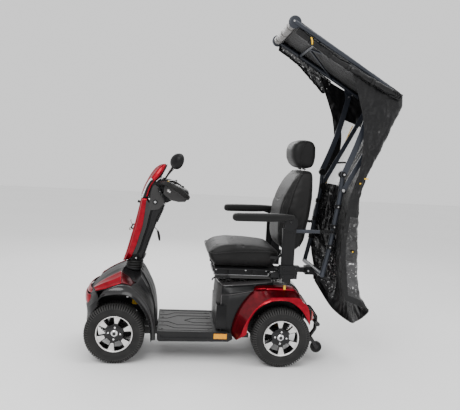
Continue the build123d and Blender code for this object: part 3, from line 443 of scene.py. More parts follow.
# ---- wheels -------------------------------------------------------------------------------------
def wheel_shapes(station, side, first_spoke):
    """Tyre and rim of one wheel, made about its own axle on the left side."""
    centre = (station, side, WHEEL_HEIGHT)
    tyre = Shape()
    side_line = [(103, 40), (104, 44), (109, 47.5), (112, 50), (113.5, 50.2), (116, 51.5), (124, 54.5),
                 (126, 56), (128, 56), (130, 55.6), (140, 57.2), (147, 57.0), (153, 54.5), (158, 49.5),
                 (161.5, 42), (163, 30), (164, 0)]
    line = even_line([(r, d, 0) for r, d in side_line], 44)
    profile = [(p.x, p.y) for p in line] + [(p.x, -p.y) for p in line[-2::-1]]
    tyre.turned(profile, centre, (0, 1, 0), steps=TYRE_STEPS)
    # A dark skin over the tyre between the lugs: painted shade in the tread grooves.
    for way in (1, -1):
        trough = [(149, 56.6), (153.4, 54.9), (158.4, 49.9), (162, 42.2), (163.5, 30), (164.5, 0)]
        tyre.turned([(r, d * way) for r, d in trough], centre, (0, 1, 0), look=1, steps=TYRE_STEPS)
    shoulder = [(145, 57.0), (148, 59.0), (158, 57.4), (165, 52.6), (169.6, 44), (169.8, 25), (161, 25),
                (153, 45)]
    for i in range(LUGS):
        middle = math.tau * i / LUGS
        for way in (1, -1):
            wide = math.radians(1.35)
            turn = middle + (0 if way > 0 else math.pi / LUGS)
            rows = [[lug_point(centre, r, d * way, turn + part * wide) for r, d in shoulder]
                    for part in (-1, 1)]
            tyre.grid(rows, around=True, caps=True)
        block = [(163.5, 21), (169.5, 20), (170, 0), (169.5, -20), (163.5, -21)]
        rows = [[lug_point(centre, r, d, middle + part * math.radians(1.7) + d * 0.0012) for r, d in block]
                for part in (-1, 1)]
        tyre.grid(rows, around=True, caps=True)

    rim = Shape()
    lip = [(96, 40), (97, 46), (99.5, 48.6), (103.4, 48.8), (104.4, 46.5), (104, 41)]
    rim.turned(lip, centre, (0, 1, 0), look=0, steps=72, closed=True)
    barrel = [(104, 42), (100, 38), (98.5, 20), (97, -20), (99, -42), (104, -44), (104, -40), (101, -39),
              (99, -18), (101, 20), (102.5, 36), (105, 40)]
    rim.turned(barrel, centre, (0, 1, 0), look=1, steps=72)
    hub = [(0, 30), (20, 30.5), (42, 30), (50, 27), (52, 20), (46, 8), (20, 6), (14, -30), (14, -44),
           (0, -44)]
    rim.turned(hub, centre, (0, 1, 0), look=1, steps=48)
    rim.turned([(0, 40), (8, 39.6), (15, 37.5), (19.5, 33), (20.5, 29)], centre, (0, 1, 0), look=2, steps=40)
    for i in range(6):
        turn = first_spoke + math.tau * i / 6
        web = spoke_rows(centre, turn, [(40, 13, 28), (60, 14, 30), (80, 19, 33), (99, 27, 37)], 24)
        rim.grid(web, look=1, around=True, caps=True)
        face = spoke_rows(centre, turn, [(57, 8.5, 32.5), (59, 9.6, 33.6), (78, 14, 36.6), (98, 20, 40.4)], 8)
        rim.grid(face, look=0, around=True, caps=True)
    for i in range(4):
        turn = math.radians(5) + math.tau * i / 4
        place = lug_point(centre, 34, 0, turn)
        nut = [(0, 39), (4, 38.8), (6.2, 37), (6.6, 35), (6.6, 29)]
        rim.turned(nut, place, (0, 1, 0), look=2, steps=6)
        rim.turned([(10.5, 30.4), (9.5, 31.2), (6, 31.2), (6, 29)], place, (0, 1, 0), look=1, steps=20)
    valve = lug_point(centre, 88, 0, first_spoke + math.radians(30))
    rim.turned([(0, 40), (2.4, 39.5), (2.6, 24)], valve, (0, 1, 0), look=1, steps=10)
    return tyre, rim


def lug_point(centre, radius, along, turn):
    """A point at this radius and angle about a wheel's axle; the angle runs rearward from the top."""
    return Vector((centre[0] + radius * math.sin(turn), centre[1] + along,
                   centre[2] + radius * math.cos(turn)))


def spoke_rows(centre, turn, sections, depth):
    """Cross-sections of one spoke: (radius, half width, face)."""
    rows = []
    outward = lug_point((0, 0, 0), 1, 0, turn)
    across = Vector((outward.z, 0, -outward.x))
    for radius, half, face in sections:
        middle = Vector(centre) + outward * radius
        rows.append([middle + across * w + Vector((0, d, 0)) for w, d in
                     ((-half, face - 1.2), (-half + 1.2, face), (half - 1.2, face), (half, face - 1.2),
                      (half * 0.8, face - depth), (-half * 0.8, face - depth))])
    return rows


def build_wheels():
    for name, station, side, body, first in (("front", 0.0, 228.0, "wheel_f", math.radians(9)),
                                             ("rear", WHEELBASE, 243.0, "wheel_r", math.radians(-4))):
        tyre, rim = wheel_shapes(station, side, first)
        for hand, letter in (("left", "l"), ("right", "r")):
            one_tyre = tyre if hand == "left" else tyre.mirrored()
            one_rim = rim if hand == "left" else rim.mirrored()
            make(f"tyre_{name}_{hand}_look", one_tyre, [TYRE, TREAD_PAINTED_SHADE], body + letter, f"tyre_{name}_{hand}",
                 sharp=28)
            make(f"rim_{name}_{hand}_look", one_rim, [MACHINED, BLACK_GLOSS, CHROME], body + letter,
                 f"rim_{name}_{hand}", sharp=30, bevel=0.5)
    for hand in ("left", "right"):
        wheel = Shape()
        rim_line = [(6, 10), (14, 10), (16, 6), (24, 6), (27, 9.5), (31, 10.5), (33.6, 7), (34, 0),
                    (33.6, -7), (31, -10.5), (27, -9.5), (24, -6), (16, -6), (14, -10), (6, -10)]
        wheel.turned(rim_line, (1189, 169.5, 87), (0, 1, 0), look=0, steps=48)
        wheel.turned([(0, 15), (3, 15), (5.6, 14), (6.6, 12), (6.6, 9)], (1189, 169.5, 87), (0, 1, 0),
                     look=1, steps=6)
        shape = wheel if hand == "left" else wheel.mirrored()
        make(f"anti_tip_{hand}_look", shape, [TYRE, CHROME], f"anti_tip_{hand[0]}", f"anti_tip_{hand}")


build_wheels()


# ---- front cowl ---------------------------------------------------------------------------------
FLARE_TOP = [(-89, 268, 380), (-83, 270, 392), (-62, 270, 417), (-13, 270, 445), (29, 270, 457),
             (71, 270, 449), (115, 270, 422), (159, 270, 375), (191, 268, 324), (211, 262, 262),
             (224, 256, 196), (229, 250, 132)]
FLARE_EDGE = [(-95, 296, 366), (-89, 297, 375), (-71, 298, 391), (-30, 298, 402), (16, 298, 407),
              (67, 298, 402), (110, 298, 377), (154, 297, 325), (184, 294, 269), (196, 288, 226),
              (203, 278, 175), (206, 270, 132)]
RED_TOP = [(-131, 185, 414), (-87, 182, 450), (-32, 178, 483), (19, 172, 508)]
RED_LOW = [(-111, 262, 412), (-55, 267, 426), (-13, 270, 444), (28, 271, 459)]


def cowl_shape():
    """Left half of the front body: hood, nose, apron, wheel arch and its liner."""
    shape = Shape()
    centre = [(-183, 0, 372), (-172, 0, 386), (-131, 0, 419), (-87, 0, 459), (-43, 0, 487), (2, 0, 508),
              (34, 0, 513)]
    inner = [(-176, 95, 370), (-164, 95, 384), (-126, 95, 419), (-83, 93, 457), (-40, 90, 486), (4, 86, 508),
             (32, 66, 513)]
    outer = [(-148, 180, 372), (-144, 182, 388), (-131, 185, 412), (-87, 182, 448), (-32, 178, 481),
             (10, 174, 503), (19, 172, 507)]
    shape.panel([centre, inner, outer], 30, 5, 0, (-1.0, -4.0))
    # Nose face, from the hood down past the bumper.
    nose_top = [(-183, 0, 372), (-176, 95, 370), (-166, 150, 371), (-148, 180, 374), (-126, 232, 398),
                (-111, 262, 410)]
    nose_mid = [(-187, 0, 300), (-182, 95, 300), (-170, 160, 302), (-154, 205, 306), (-128, 245, 332),
                (-93, 272, 374)]
    nose_low = [(-179, 0, 214), (-175, 95, 214), (-168, 160, 217), (-157, 205, 230), (-140, 238, 262),
                (-104, 262, 318)]
    shape.panel([nose_top, nose_mid, nose_low], 26, 6, 0, (-3.0, -4.0))
    shape.panel([[(-131, 184, 411), (-126, 210, 410), (-111, 262, 411)], [(-148, 180, 374), (-138, 208, 386),
                (-111, 262, 410)]], 10, 3, 0)
    # Under the red panel, so that no gap shows round it.
    rear_top = [(19, 172, 505), (63, 186, 479), (106, 212, 450)]
    shape.panel([outer[2:], [(-111, 262, 409), (-55, 266, 423), (-13, 269, 441), (28, 270, 456)]], 20, 4, 0,
                -3)
    shape.panel([rear_top, [(28, 270, 456), (71, 269, 448), (106, 266, 429)]], 12, 4, 0)
    # Dark well round the boot, and its rim.
    boot_ring = [(34, 0, 511), (36, 44, 508), (60, 60, 494), (104, 60, 482), (128, 46, 492), (134, 0, 505)]
    well_rim = [(34, 0, 513), (32, 66, 512), (19, 172, 506), (106, 205, 452), (133, 180, 482), (130, 0, 512)]
    shape.panel([even_line(well_rim, 40, False), even_line(boot_ring, 40, False)], 40, 3, 1, 3, smooth=False)
    # Rear apron, in bands from the centre out.
    bands = [[(126, 0, 506), (155, 0, 474), (184, 0, 440), (212, 0, 378), (227, 0, 308), (233, 0, 251),
              (235, 0, 180)],
             [(126, 70, 508), (152, 70, 478), (184, 70, 434), (208, 70, 377), (224, 70, 310),
              (229, 70, 248), (232, 70, 180)],
             [(128, 120, 512), (148, 120, 486), (180, 120, 428), (199, 120, 375), (217, 120, 311),
              (223, 120, 242), (228, 120, 170)],
             [(130, 127, 500), (147, 128, 474), (177, 128, 420), (194, 128, 368), (211, 128, 306),
              (217, 128, 238), (222, 128, 170)],
             [(133, 168, 484), (156, 170, 448), (184, 172, 384), (200, 172, 332), (212, 172, 256),
              (219, 172, 150)],
             [(131, 182, 488), (156, 182, 450), (190, 182, 386), (206, 182, 331), (217, 182, 254),
              (224, 182, 150)],
             [(106, 212, 451), (140, 214, 424), (182, 216, 378), (202, 217, 334), (222, 219, 247),
              (230, 220, 135)],
             [(71, 269, 449), (115, 270, 422), (159, 270, 375), (191, 268, 324), (211, 262, 262),
              (224, 256, 196), (229, 250, 132)]]
    shape.panel(bands, 26, 3, (0, 0, 1, 1, 1, 0, 3), (-3, -2, 0, 0, 0, -2, 0))
    # Arch flare with its inner lip, and the dark liner behind it.
    shape.panel([FLARE_TOP, FLARE_EDGE, [(s - 0.5, y - 5, z - 5) for s, y, z in FLARE_EDGE]], 40, 6, (2, 2),
                (-6.0, 0))
    liner = [[(s, y, z - 3) for s, y, z in FLARE_EDGE], [(s, 160, z + 2) for s, y, z in FLARE_EDGE],
             [(s, 88, z - 8) for s, y, z in FLARE_EDGE]]
    shape.panel(liner, 30, 3, 1)
    shape.panel([[(-110, 88, 330), (-60, 88, 392), (10, 88, 398), (66, 88, 394), (110, 88, 368),
                  (160, 88, 312)],
                 [(-110, 88, 262), (-60, 88, 262), (10, 88, 262), (66, 88, 262), (110, 88, 262),
                  (170, 88, 262)]], 12, 2, 1)
    return shape


def cowl_details():
    """Raised ridges, screw recesses and the black collar of the boot."""
    shape = Shape()
    for y, shift, width in ((238, -5, 2.2), (206, 3, 2.6), (150, 3, 3.0), (136, 4, 2.6)):
        line = [(140 + shift, y, 440), (166 + shift, y, 404), (186 + shift, y, 362), (203 + shift, y, 318),
                (216 + shift, y, 250), (224 + shift, y, 165)]
        if y < 160:
            line = [(s - 2, y, z + (512 - z) * 0.22) for s, _, z in line]
        shape.tube(line, width, look=0, sides=8)
    for s, z in ((137, 406), (161, 379)):
        shape.turned([(0, 2.0), (3.2, 2.2), (5.4, 4.5), (6.6, 4.4), (7.4, 0)], (s - 2, 244, z),
                     (0.75, 0.35, 0.55), look=1, steps=16)
    shape.both()
    collar = [(52, 0), (54, 8), (50, 13), (45, 14), (43, 4)]
    shape.turned(collar, (82, 0, 492), (0.12, 0, 1), look=1, steps=40)
    for side in (-40, 40):
        shape.tube([(36, side, 512), (32, side * 1.1, 505), (38, side * 1.2, 492)], 4.5, look=2, sides=8)
        shape.tube([(126, side, 510), (136, side * 1.1, 497), (134, side * 1.2, 478)], 4.0, look=2, sides=8)
    return shape


def red_panels():
    """Red panels over the front arches, each with a ridge along it."""
    shape = Shape()
    lift = Vector((0, 2.5, 3.0))
    top = [Vector(p) + lift for p in RED_TOP]
    low = [Vector(p) + lift for p in RED_LOW]
    ridge = [(-124, 226, 424), (-66, 232, 452), (-14, 234, 473), (25, 228, 492)]
    shape.panel([top, ridge, low], 26, 5, 0, (-1.5, -3.5))
    # The rear facet, in the darker red copy: painted shade.
    rear_top = [top[-1], Vector((63, 188, 484)), Vector((102, 208, 452))]
    rear_mid = [Vector(ridge[-1]), Vector((58, 234, 476)), Vector((94, 240, 452))]
    rear_low = [low[-1], Vector((60, 272, 458)), Vector((84, 268, 448))]
    shape.panel([rear_top, rear_mid, rear_low], 12, 4, (1, 1), (0, 0))
    return shape.both()


def bumper_strips():
    """Two red strips round the nose, rounded in section."""
    shape = Shape()
    for low, high in ((316, 371), (380, 404)):
        lines = []
        for height, push in ((low, 1.0), (low + 5, 5.0), ((low + high) / 2, 7.0), (high - 5, 5.0),
                             (high, 1.0)):
            back = max(0.0, (height - 366) * 0.62)
            lines.append([(-187 - push + back, 0, height), (-183 - push + back, 80, height),
                          (-172 - push + back, 140, height), (-158 - push + back, 172, height + 1),
                          (-145 + back * 0.6, 190 + push * 0.4, height + 2)])
        shape.panel(lines, 22, 2, 0, 0)
    return shape.both()


def front_suspension():
    """Springs and arms that show under the arches. They are fixed to the chassis and carry nothing."""
    shape = Shape()
    turns = [(100 + 13 * math.cos(a), 132 + 13 * math.sin(a), 312 + a * 1.5) for a in
             (math.tau * k / 12 for k in range(12 * 5 + 1))]
    shape.tube(turns, 3.0, look=0, sides=8, steps=2)
    shape.tube([(100, 132, 306), (100, 132, 372)], 7.5, look=1, sides=14, steps=1)
    shape.turned([(0, 14), (8, 14), (11, 9), (11, 0)], (100, 132, 358), (0, 0, 1), look=2, steps=20)
    shape.tube([(112, 104, 336), (98, 140, 352), (70, 176, 364)], [7, 8, 7], look=1, sides=12)
    shape.turned([(0, 6), (6, 6), (8, 3), (8, -4)], (62, 184, 366), (0, 1, 0), look=2, steps=6)
    shape.turned([(0, 6), (7, 6), (9, 3), (9, -4)], (122, 150, 346), (0, 1, 0), look=2, steps=6)
    return shape.both()


make("front_cowl_look", cowl_shape().both(), [SHELL, BLACK, SHELL_GLOSS_DARK, SHELL_FACET], "chassis",
     "front_cowl", sharp=24, thick=2.5)
make("front_cowl_details", cowl_details(), [SHELL, BLACK, RUBBER], "chassis")
make("red_cowl_panels", red_panels(), [RED, RED_PAINTED_SHADE], "chassis", "red_trim", sharp=20,
     thick=3.0)
make("red_bumper_strips", bumper_strips(), RED, "chassis", sharp=50, thick=2.0)
make("front_suspension_look", front_suspension(), [YELLOW, FRAME, STEEL], "chassis")


def lamp_shapes():
    """Round front lamps, and the ribbed amber markers on the deck's sides."""
    shape = Shape()
    shape.turned([(0, 7.0), (9, 6.4), (16, 4.4), (20, 1.0), (21, -3)], (-189, 46, 333), (-1, 0.12, 0.05),
                 look=0, steps=32)
    shape.turned([(20, 3.2), (23, 3.6), (24.5, 1.0), (24.5, -4)], (-189, 46, 333), (-1, 0.12, 0.05), look=1,
                 steps=32)
    for k in range(9):
        shape.block(568 + k * 8, 575 + k * 8, 241, 246.2, 147.5, 172.5, look=2)
    shape.block(565, 641, 240.4, 243.6, 145, 175, look=2)
    return shape.both()


make("front_lamps_look", lamp_shapes(), [LENS, BLACK, AMBER], "chassis", "lamps", bevel=0.6)


# ---- tiller -------------------------------------------------------------------------------------
def column(distance, ahead, side):
    """A point this far up the tiller column from its tilt pivot, and this far ahead of the centreline."""
    return (TILT_PIVOT[0] + distance * math.sin(COLUMN_LEAN) - ahead * math.cos(COLUMN_LEAN), side,
            TILT_PIVOT[1] + distance * math.cos(COLUMN_LEAN) + ahead * math.sin(COLUMN_LEAN))


def tiller_front_shape():
    """Red front cover: rounded across, with a hooked lower tip and a seam line down each side, where the
    turned-in edge takes the darker red as painted shade.
    """
    shape = Shape()
    front = [(15, 543), (20, 560), (36, 612), (56, 690), (76, 768), (92, 840), (103, 895), (110, 927)]
    edge = [(30, 548), (58, 566), (86, 618), (108, 690), (127, 762), (137, 836), (142, 893), (146, 926)]
    half = [20, 44, 58, 62, 66, 70, 74, 76]
    rows = []
    for (fs, fz), (es, ez), w in zip(front, edge, half):
        rows.append([(fs, 0, fz), (fs + 0.5, w * 0.35, fz), (fs + 3, w * 0.66, fz + 1),
                     (fs * 0.7 + es * 0.3, w * 0.9, fz * 0.7 + ez * 0.3), (es, w, ez), (es + 1, w - 4, ez)])
    rails = [[row[i] for row in rows] for i in range(len(rows[0]))]
    shape.panel(rails[:5], 44, 3, 0, (-0.5, -1.5, -2.0, -1.0))
    # The turned-in edge takes the darker red copy: painted shade along the seam.
    shape.panel(rails[4:], 44, 1, 1)
    return shape.both()


def nose_shape():
    """Red fin at the head of the tiller, with its thin side strips and dark rim."""
    shape = Shape()
    ridge = [(106, 0, 934), (118, 0, 979), (136, 0, 1023), (159, 0, 1068), (184, 0, 1104), (214, 0, 1127),
             (243, 0, 1134)]
    shoulder = [(116, 46, 934), (126, 48, 978), (146, 50, 1020), (170, 52, 1062), (194, 50, 1096),
                (222, 42, 1122), (246, 30, 1133)]
    cheek_top = [(165, 62, 1048), (178, 62, 1068), (198, 60, 1098), (222, 52, 1124), (244, 40, 1133)]
    cheek_mid = [(178, 68, 1031), (192, 68, 1050), (210, 66, 1078), (228, 58, 1108), (246, 42, 1130)]
    cheek_low = [(178, 68, 1031), (190, 68, 1036), (216, 66, 1062), (236, 58, 1100), (248, 42, 1122)]
    shape.panel([ridge, shoulder], 34, 5, 0, -5)
    shape.panel([[(165, 50, 1055), (184, 52, 1082), (210, 48, 1112), (246, 30, 1133)], cheek_top,
                 cheek_mid, cheek_low], 20, 3, (0, 0, 0), (0, -2, 0))
    strip_out = [(147, 68, 935), (152, 68, 955), (161, 68, 985), (172, 67, 1010), (189, 66, 1034)]
    strip_in = [(138, 66, 937), (143, 66, 962), (152, 66, 990), (164, 65, 1015), (180, 64, 1034)]
    shape.panel([strip_in, strip_out], 18, 2, 0, 1.5)
    rim_low = [(189, 60, 1036), (214, 58, 1060), (236, 52, 1098), (249, 36, 1126), (250, 0, 1134)]
    rim_back = [(196, 56, 1036), (220, 54, 1056), (243, 48, 1096), (254, 32, 1124), (254, 0, 1130)]
    shape.panel([rim_low, rim_back], 20, 2, 1)
    shape.panel([rim_back,
                 [(200, 0, 1030), (218, 0, 1050), (236, 0, 1084), (246, 0, 1110), (250, 0, 1126)]],
                20, 3, 1)
    shape.panel([[(128, 60, 930), (134, 60, 960), (146, 60, 992), (160, 60, 1022), (176, 60, 1040)],
                 [(150, 62, 930), (156, 62, 958), (166, 62, 988), (178, 62, 1012), (194, 62, 1034)]],
                14, 2, 1)
    shape.panel([[(116, 44, 932), (122, 46, 960), (138, 48, 1004), (158, 50, 1040), (170, 52, 1060)],
                 [(128, 60, 930), (134, 60, 960), (146, 60, 992), (160, 60, 1022), (176, 60, 1046)]],
                14, 2, 2)
    return shape.both()


def lamp_strip():
    """Silver lamp strips between the red ridge and the thin red strips."""
    shape = Shape()
    shape.panel([[(111, 50, 930), (118, 52, 952), (133, 54, 996), (152, 56, 1034), (166, 57, 1052)],
                 [(119, 62, 930), (126, 63, 952), (140, 64, 994), (157, 64, 1026), (172, 64, 1040)]],
                20, 3, 0, 3)
    for k in range(4):
        place = (116 + 7 * k, 59, 944 + 17 * k)
        shape.turned([(0, 3.4), (3.5, 2.8), (5.2, 0.6), (5.4, -2)], place, (-0.75, 0.6, 0.1), look=1,
                     steps=16)
    return shape.both()


def tiller_rear_shape():
    """Grey strip panel, dark groove and recessed rear panel on each side, with a toothed rear edge."""
    shape = Shape()
    seam = [(72, 588), (92, 636), (110, 700), (126, 758), (136, 830), (143, 918)]
    groove = [(96, 588), (116, 636), (134, 700), (150, 756), (163, 822), (178, 884)]
    back = [(136, 568), (150, 606), (170, 672), (199, 759), (224, 827), (252, 886)]
    first = even_line([(s, 0, z) for s, z in seam], 30)
    second = even_line([(s, 0, z) for s, z in groove], 30)
    third = even_line([(s, 0, z) for s, z in back], 30)
    width = [59 + 16 * i / 29 for i in range(30)]
    rails = [[(p.x - 2, w - 2, p.z) for p, w in zip(first, width)],
             [(p.x, w + 1, p.z) for p, w in zip(first, width)],
             [(p.x - 3, w + 1, p.z) for p, w in zip(second, width)],
             [(p.x + 1, w - 7, p.z) for p, w in zip(second, width)],
             [(p.x + 8, w - 7, p.z) for p, w in zip(second, width)],
             [(p.x + 11, w - 3, p.z) for p, w in zip(second, width)],
             [(p.x - 16, w - 7, p.z) for p, w in zip(third, width)],
             [(p.x - 4, w * 0.68, p.z) for p, w in zip(third, width)],
             [(p.x, 0, p.z) for p, w in zip(third, width)]]
    for i, (look, bulge) in enumerate(
        ((2, 0), (0, -2.5), (2, 0), (2, 0), (2, 0), (1, -1.5), (1, -3), (1, -3))):
        shape.panel(rails[i:i + 2], 30, 3, look, bulge, smooth=False)
    # Angled step on the rear panel, and a row of small teeth near its rear edge.
    step_line = [(146, 640), (152, 690), (166, 724), (186, 758), (196, 800), (214, 838), (232, 868)]
    shape.tube([(s, 56 + (z - 640) * 0.03, z) for s, z in step_line], 2.4, look=2, sides=8)
    for k in range(8):
        part = k / 7
        place = (212 + 30 * part, 38 + 8 * part, 790 + 74 * part)
        shape.turned([(0, 3), (4, 2), (4.6, -4)], place, (0.9, 0.2, -0.4), look=2, steps=6)
    return shape.both()


def boot_neck():
    """Black collar pieces between the boot and the tiller covers."""
    shape = Shape()
    rows = []
    for distance, ahead, reach, half in ((24, 4, 40, 38), (36, 4, 47, 44), (52, 2, 49, 50), (66, 0, 50, 55),
                                         (84, 0, 50, 57)):
        rows.append([column(distance, ahead + reach * math.cos(a) * (1 if abs(math.cos(a)) < 0.8 else 0.96),
                            half * math.sin(a)) for a in turns(32)])
    shape.grid(rows, around=True, caps=True)
    for side in (-46, 46):
        shape.turned([(0, 5), (5, 4.6), (7, 2), (7, -3)], column(48, 2, side), (0, side, 0), look=1, steps=6)
        shape.tube([column(40, -26, side * 0.9), column(58, -10, side), column(64, 20, side)], 4, look=0,
                   sides=8)
    return shape


make("tiller_front_look", tiller_front_shape(), [RED, RED_PAINTED_SHADE], "tiller", "tiller_front",
     sharp=26, thick=2.5)
make("tiller_nose_look", nose_shape(), [RED, BLACK, SHELL_LIGHT], "tiller", sharp=26,
     thick=2.0)
make("lamp_strip_look", lamp_strip(), [LENS, CHROME], "tiller", "headlight", sharp=26)
make("tiller_rear_look", tiller_rear_shape(), [SHELL_LIGHT, SHELL, BLACK], "tiller", "tiller_rear",
     sharp=22, thick=2.0)
make("tiller_neck_look", boot_neck(), [BLACK, STEEL], "tiller", bevel=0.8)


def boot_shape():
    """Ribbed rubber boot, leaning into the column as it rises."""
    shape = Shape()
    low, high, ribs = 470.0, 548.0, 5
    rows = []
    for i in range(ribs * 8 + 1):
        part = i / (ribs * 8)
        swell = 3.6 * (0.5 - 0.5 * math.cos(math.tau * ribs * part)) ** 0.7
        radius = 49 - 3 * part + swell
        shift = part * part * 6
        rows.append([(82 + shift + radius * math.cos(a), radius * 0.92 * math.sin(a),
                      low + (high - low) * part) for a in turns(48)])
    return shape.grid(rows, around=True)


make("bellows_look", boot_shape(), RUBBER, "stem", "bellows", sharp=60)


# ---- console, handle, controls ------------------------------------------------------------------
def console_shape():
    """Head of the tiller: side facets, shroud, wings below the handles, instrument pad and charger socket."""
    shape = Shape()
    # Grey side facet with the bolt, then the sloping black upper body.
    facet = [(166, 966), (163, 928), (158, 884), (174, 858), (216, 866), (246, 898), (252, 925), (240, 955),
             (214, 995), (188, 1010), (176, 1000)]
    shape.plate(facet, 66, 76, 0)
    shape.plate([(150, 930), (262, 905), (300, 925), (340, 922), (330, 990), (262, 1024), (198, 1026),
                 (176, 1020)], -66, 66, 1)
    # Rounded black shroud: sections across the machine, swept from the nose back to the tail.
    sections = [(186, 996, 1036, 60), (214, 972, 1044, 80), (246, 950, 1036, 88), (290, 938, 1022, 92),
                (340, 936, 1004, 92), (380, 948, 984, 84), (390, 958, 972, 76)]
    rows = []
    for s, low, high, half in sections:
        middle, tall = (low + high) / 2, (high - low) / 2
        ring = []
        for a in turns(28):
            ring.append((s, half * squared(math.cos(a), 0.55),
                         middle + tall * squared(math.sin(a), 0.7)))
        rows.append(ring)
    shape.grid([list(row) for row in zip(*[even_line(list(line), 22) for line in zip(*rows)])], 1,
               around=True, caps=True)
    # Grey wings below the handle loops.
    for way in (-1, 1):
        wing = [(240, 958, 90), (284, 924, 96), (330, 916, 110), (368, 920, 130), (386, 944, 146),
                (376, 960, 130), (306, 990, 104), (248, 1016, 90)]
        rows = [[(s, y * way, z) for s, z, y in wing], [(s, (y + 26) * way, z + 4) for s, z, y in wing]]
        shape.grid(rows, 0, around=True, caps=True)
    # Instrument pad on top, with a dark lens and a ring of dial marks.
    shape.block(212, 292, -40, 40, 1030, 1037, 2)
    # Round charger socket with its hinged cap, behind the throttle.
    shape.turned([(9, 988), (9, 1006), (11, 1008), (15, 1007), (16.5, 1003), (17, 980)], (345, 0, 0),
                 (0, 0, 1), look=2, steps=36)
    shape.turned([(0, 996), (2.2, 996), (2.2, 990)], (345, 0, 0), (0, 0, 1), look=3, steps=12)
    for k in range(11):
        a = math.radians(-125 + 25 * k)
        x, y = 250 - 21 * math.cos(a), 48 + 21 * math.sin(a)
        shape.block(x - 1, x + 1, y - 1, y + 1, 1027, 1034.6, 3)
    return shape


def handle_shape():
    """Thick soft loop each side, with a ribbed grip along its rear stretch."""
    shape = Shape()
    line = [(218, 78, 1010), (236, 122, 1022), (260, 172, 1024), (294, 210, 1012), (334, 219, 990),
            (366, 198, 962), (378, 150, 949), (368, 84, 946)]
    shape.tube(line, [13, 14, 14.5, 15, 15.5, 16, 15, 12], look=0, sides=22, steps=8)
    path = even_line(line, 60)
    for i in range(30, 50, 2):
        along = (path[i + 1] - path[i - 1]).normalized()
        shape.turned([(15.6, -1.6), (16.9, -0.8), (16.9, 0.8), (15.6, 1.6)], path[i], along, look=0, steps=20)
    return shape.both()


def side_cluster():
    """Bolt and small silver lever work on each side of the head."""
    shape = Shape()
    shape.turned([(0, 6), (7, 6), (8.5, 4.5), (8.5, 1)], (194, 76, 908), (0, 1, 0), look=0, steps=6)
    shape.turned([(14, 0), (14, 2.6), (11, 3.4), (9, 2.4), (9, 0)], (194, 76, 908), (0, 1, 0), look=1,
                 steps=28)
    for k in range(5):
        shape.turned([(0, 7), (3.6, 6.6), (5, 4), (5, -3)],
                     (214 + 6 * k, 80 + 2 * k, 972 - 8 * k + 9 * (k % 2)), (0.2, 1, 0.1),
                     look=0 if k % 2 else 1, steps=10)
    shape.tube([(206, 82, 990), (222, 92, 976), (236, 94, 952), (246, 90, 930), (252, 84, 900)], 3.4, look=1,
               sides=10)
    shape.tube([(196, 78, 1030), (214, 84, 1046), (226, 86, 1052)], 3.0, look=0, sides=10)
    shape.both()
    shape.turned([(0, 13), (7, 12.6), (9, 10), (7.4, 8), (7.4, 4), (9, 2), (9, 0), (5, -1), (5, -10)],
                 (100, 0, 900), (-1, 0, 0.28), look=1, steps=24)
    return shape


make("console_look", console_shape(), [SHELL_LIGHT, BLACK, BLACK_GLOSS, GREY_LIGHT], "tiller", "console",
     sharp=34, bevel=1.4)
make("handle_loops_look", handle_shape(), RUBBER, "tiller", sharp=50)
make("head_fittings_look", side_cluster(), [STEEL, BLACK], "tiller", sharp=40)


def mirror_shape():
    """Egg-shaped shell on a thin swept stem, with glass on the rider's side."""
    shape = Shape()
    shape.tube([(238, 76, 1036), (252, 96, 1056), (268, 170, 1086), (284, 262, 1112), (298, 286, 1134)],
               4.2, look=0)
    shape.tube([(250, 90, 1048), (268, 160, 1078), (290, 262, 1108), (306, 290, 1128)], 2.6, look=0)
    shape.turned([(0, 9), (6, 8), (9.5, 3), (10.5, -3), (9, -9)], (237, 76, 1040), (0.2, 0.1, 1), look=0,
                 steps=24)
    rows = []
    for d, grow in ((-14, 0.25), (-13, 0.45), (-9, 0.72), (-2, 0.93), (6, 1.0), (10, 0.99), (11, 0.95),
                    (8.6, 0.93)):
        ring = []
        for a in turns(40):
            wide, tall = 47 * math.cos(a), 43 * math.sin(a)
            wide += 5 * math.sin(a)
            ring.append((306 + d * 1.25 + tall * grow * 0.10 + wide * grow * 0.64,
                         291 - d * 0.9 + wide * grow * 0.76, 1157 + tall * grow * 1.04 - d * 0.1))
        rows.append(ring)
    shape.grid(rows[:7], 0, around=True, caps=False)
    shape.add(rows[0], [tuple(range(40))], 0)
    shape.add(rows[7], [tuple(range(40))], 1)
    shape.grid(rows[6:], 0, around=True)
    return shape


mirror = mirror_shape()
make("mirror_left_look", mirror, [BLACK, GLASS], "mirror_l", "mirror_left", sharp=40)
make("mirror_right_look", mirror.mirrored(), [BLACK, GLASS], "mirror_r", "mirror_right",
     sharp=40)


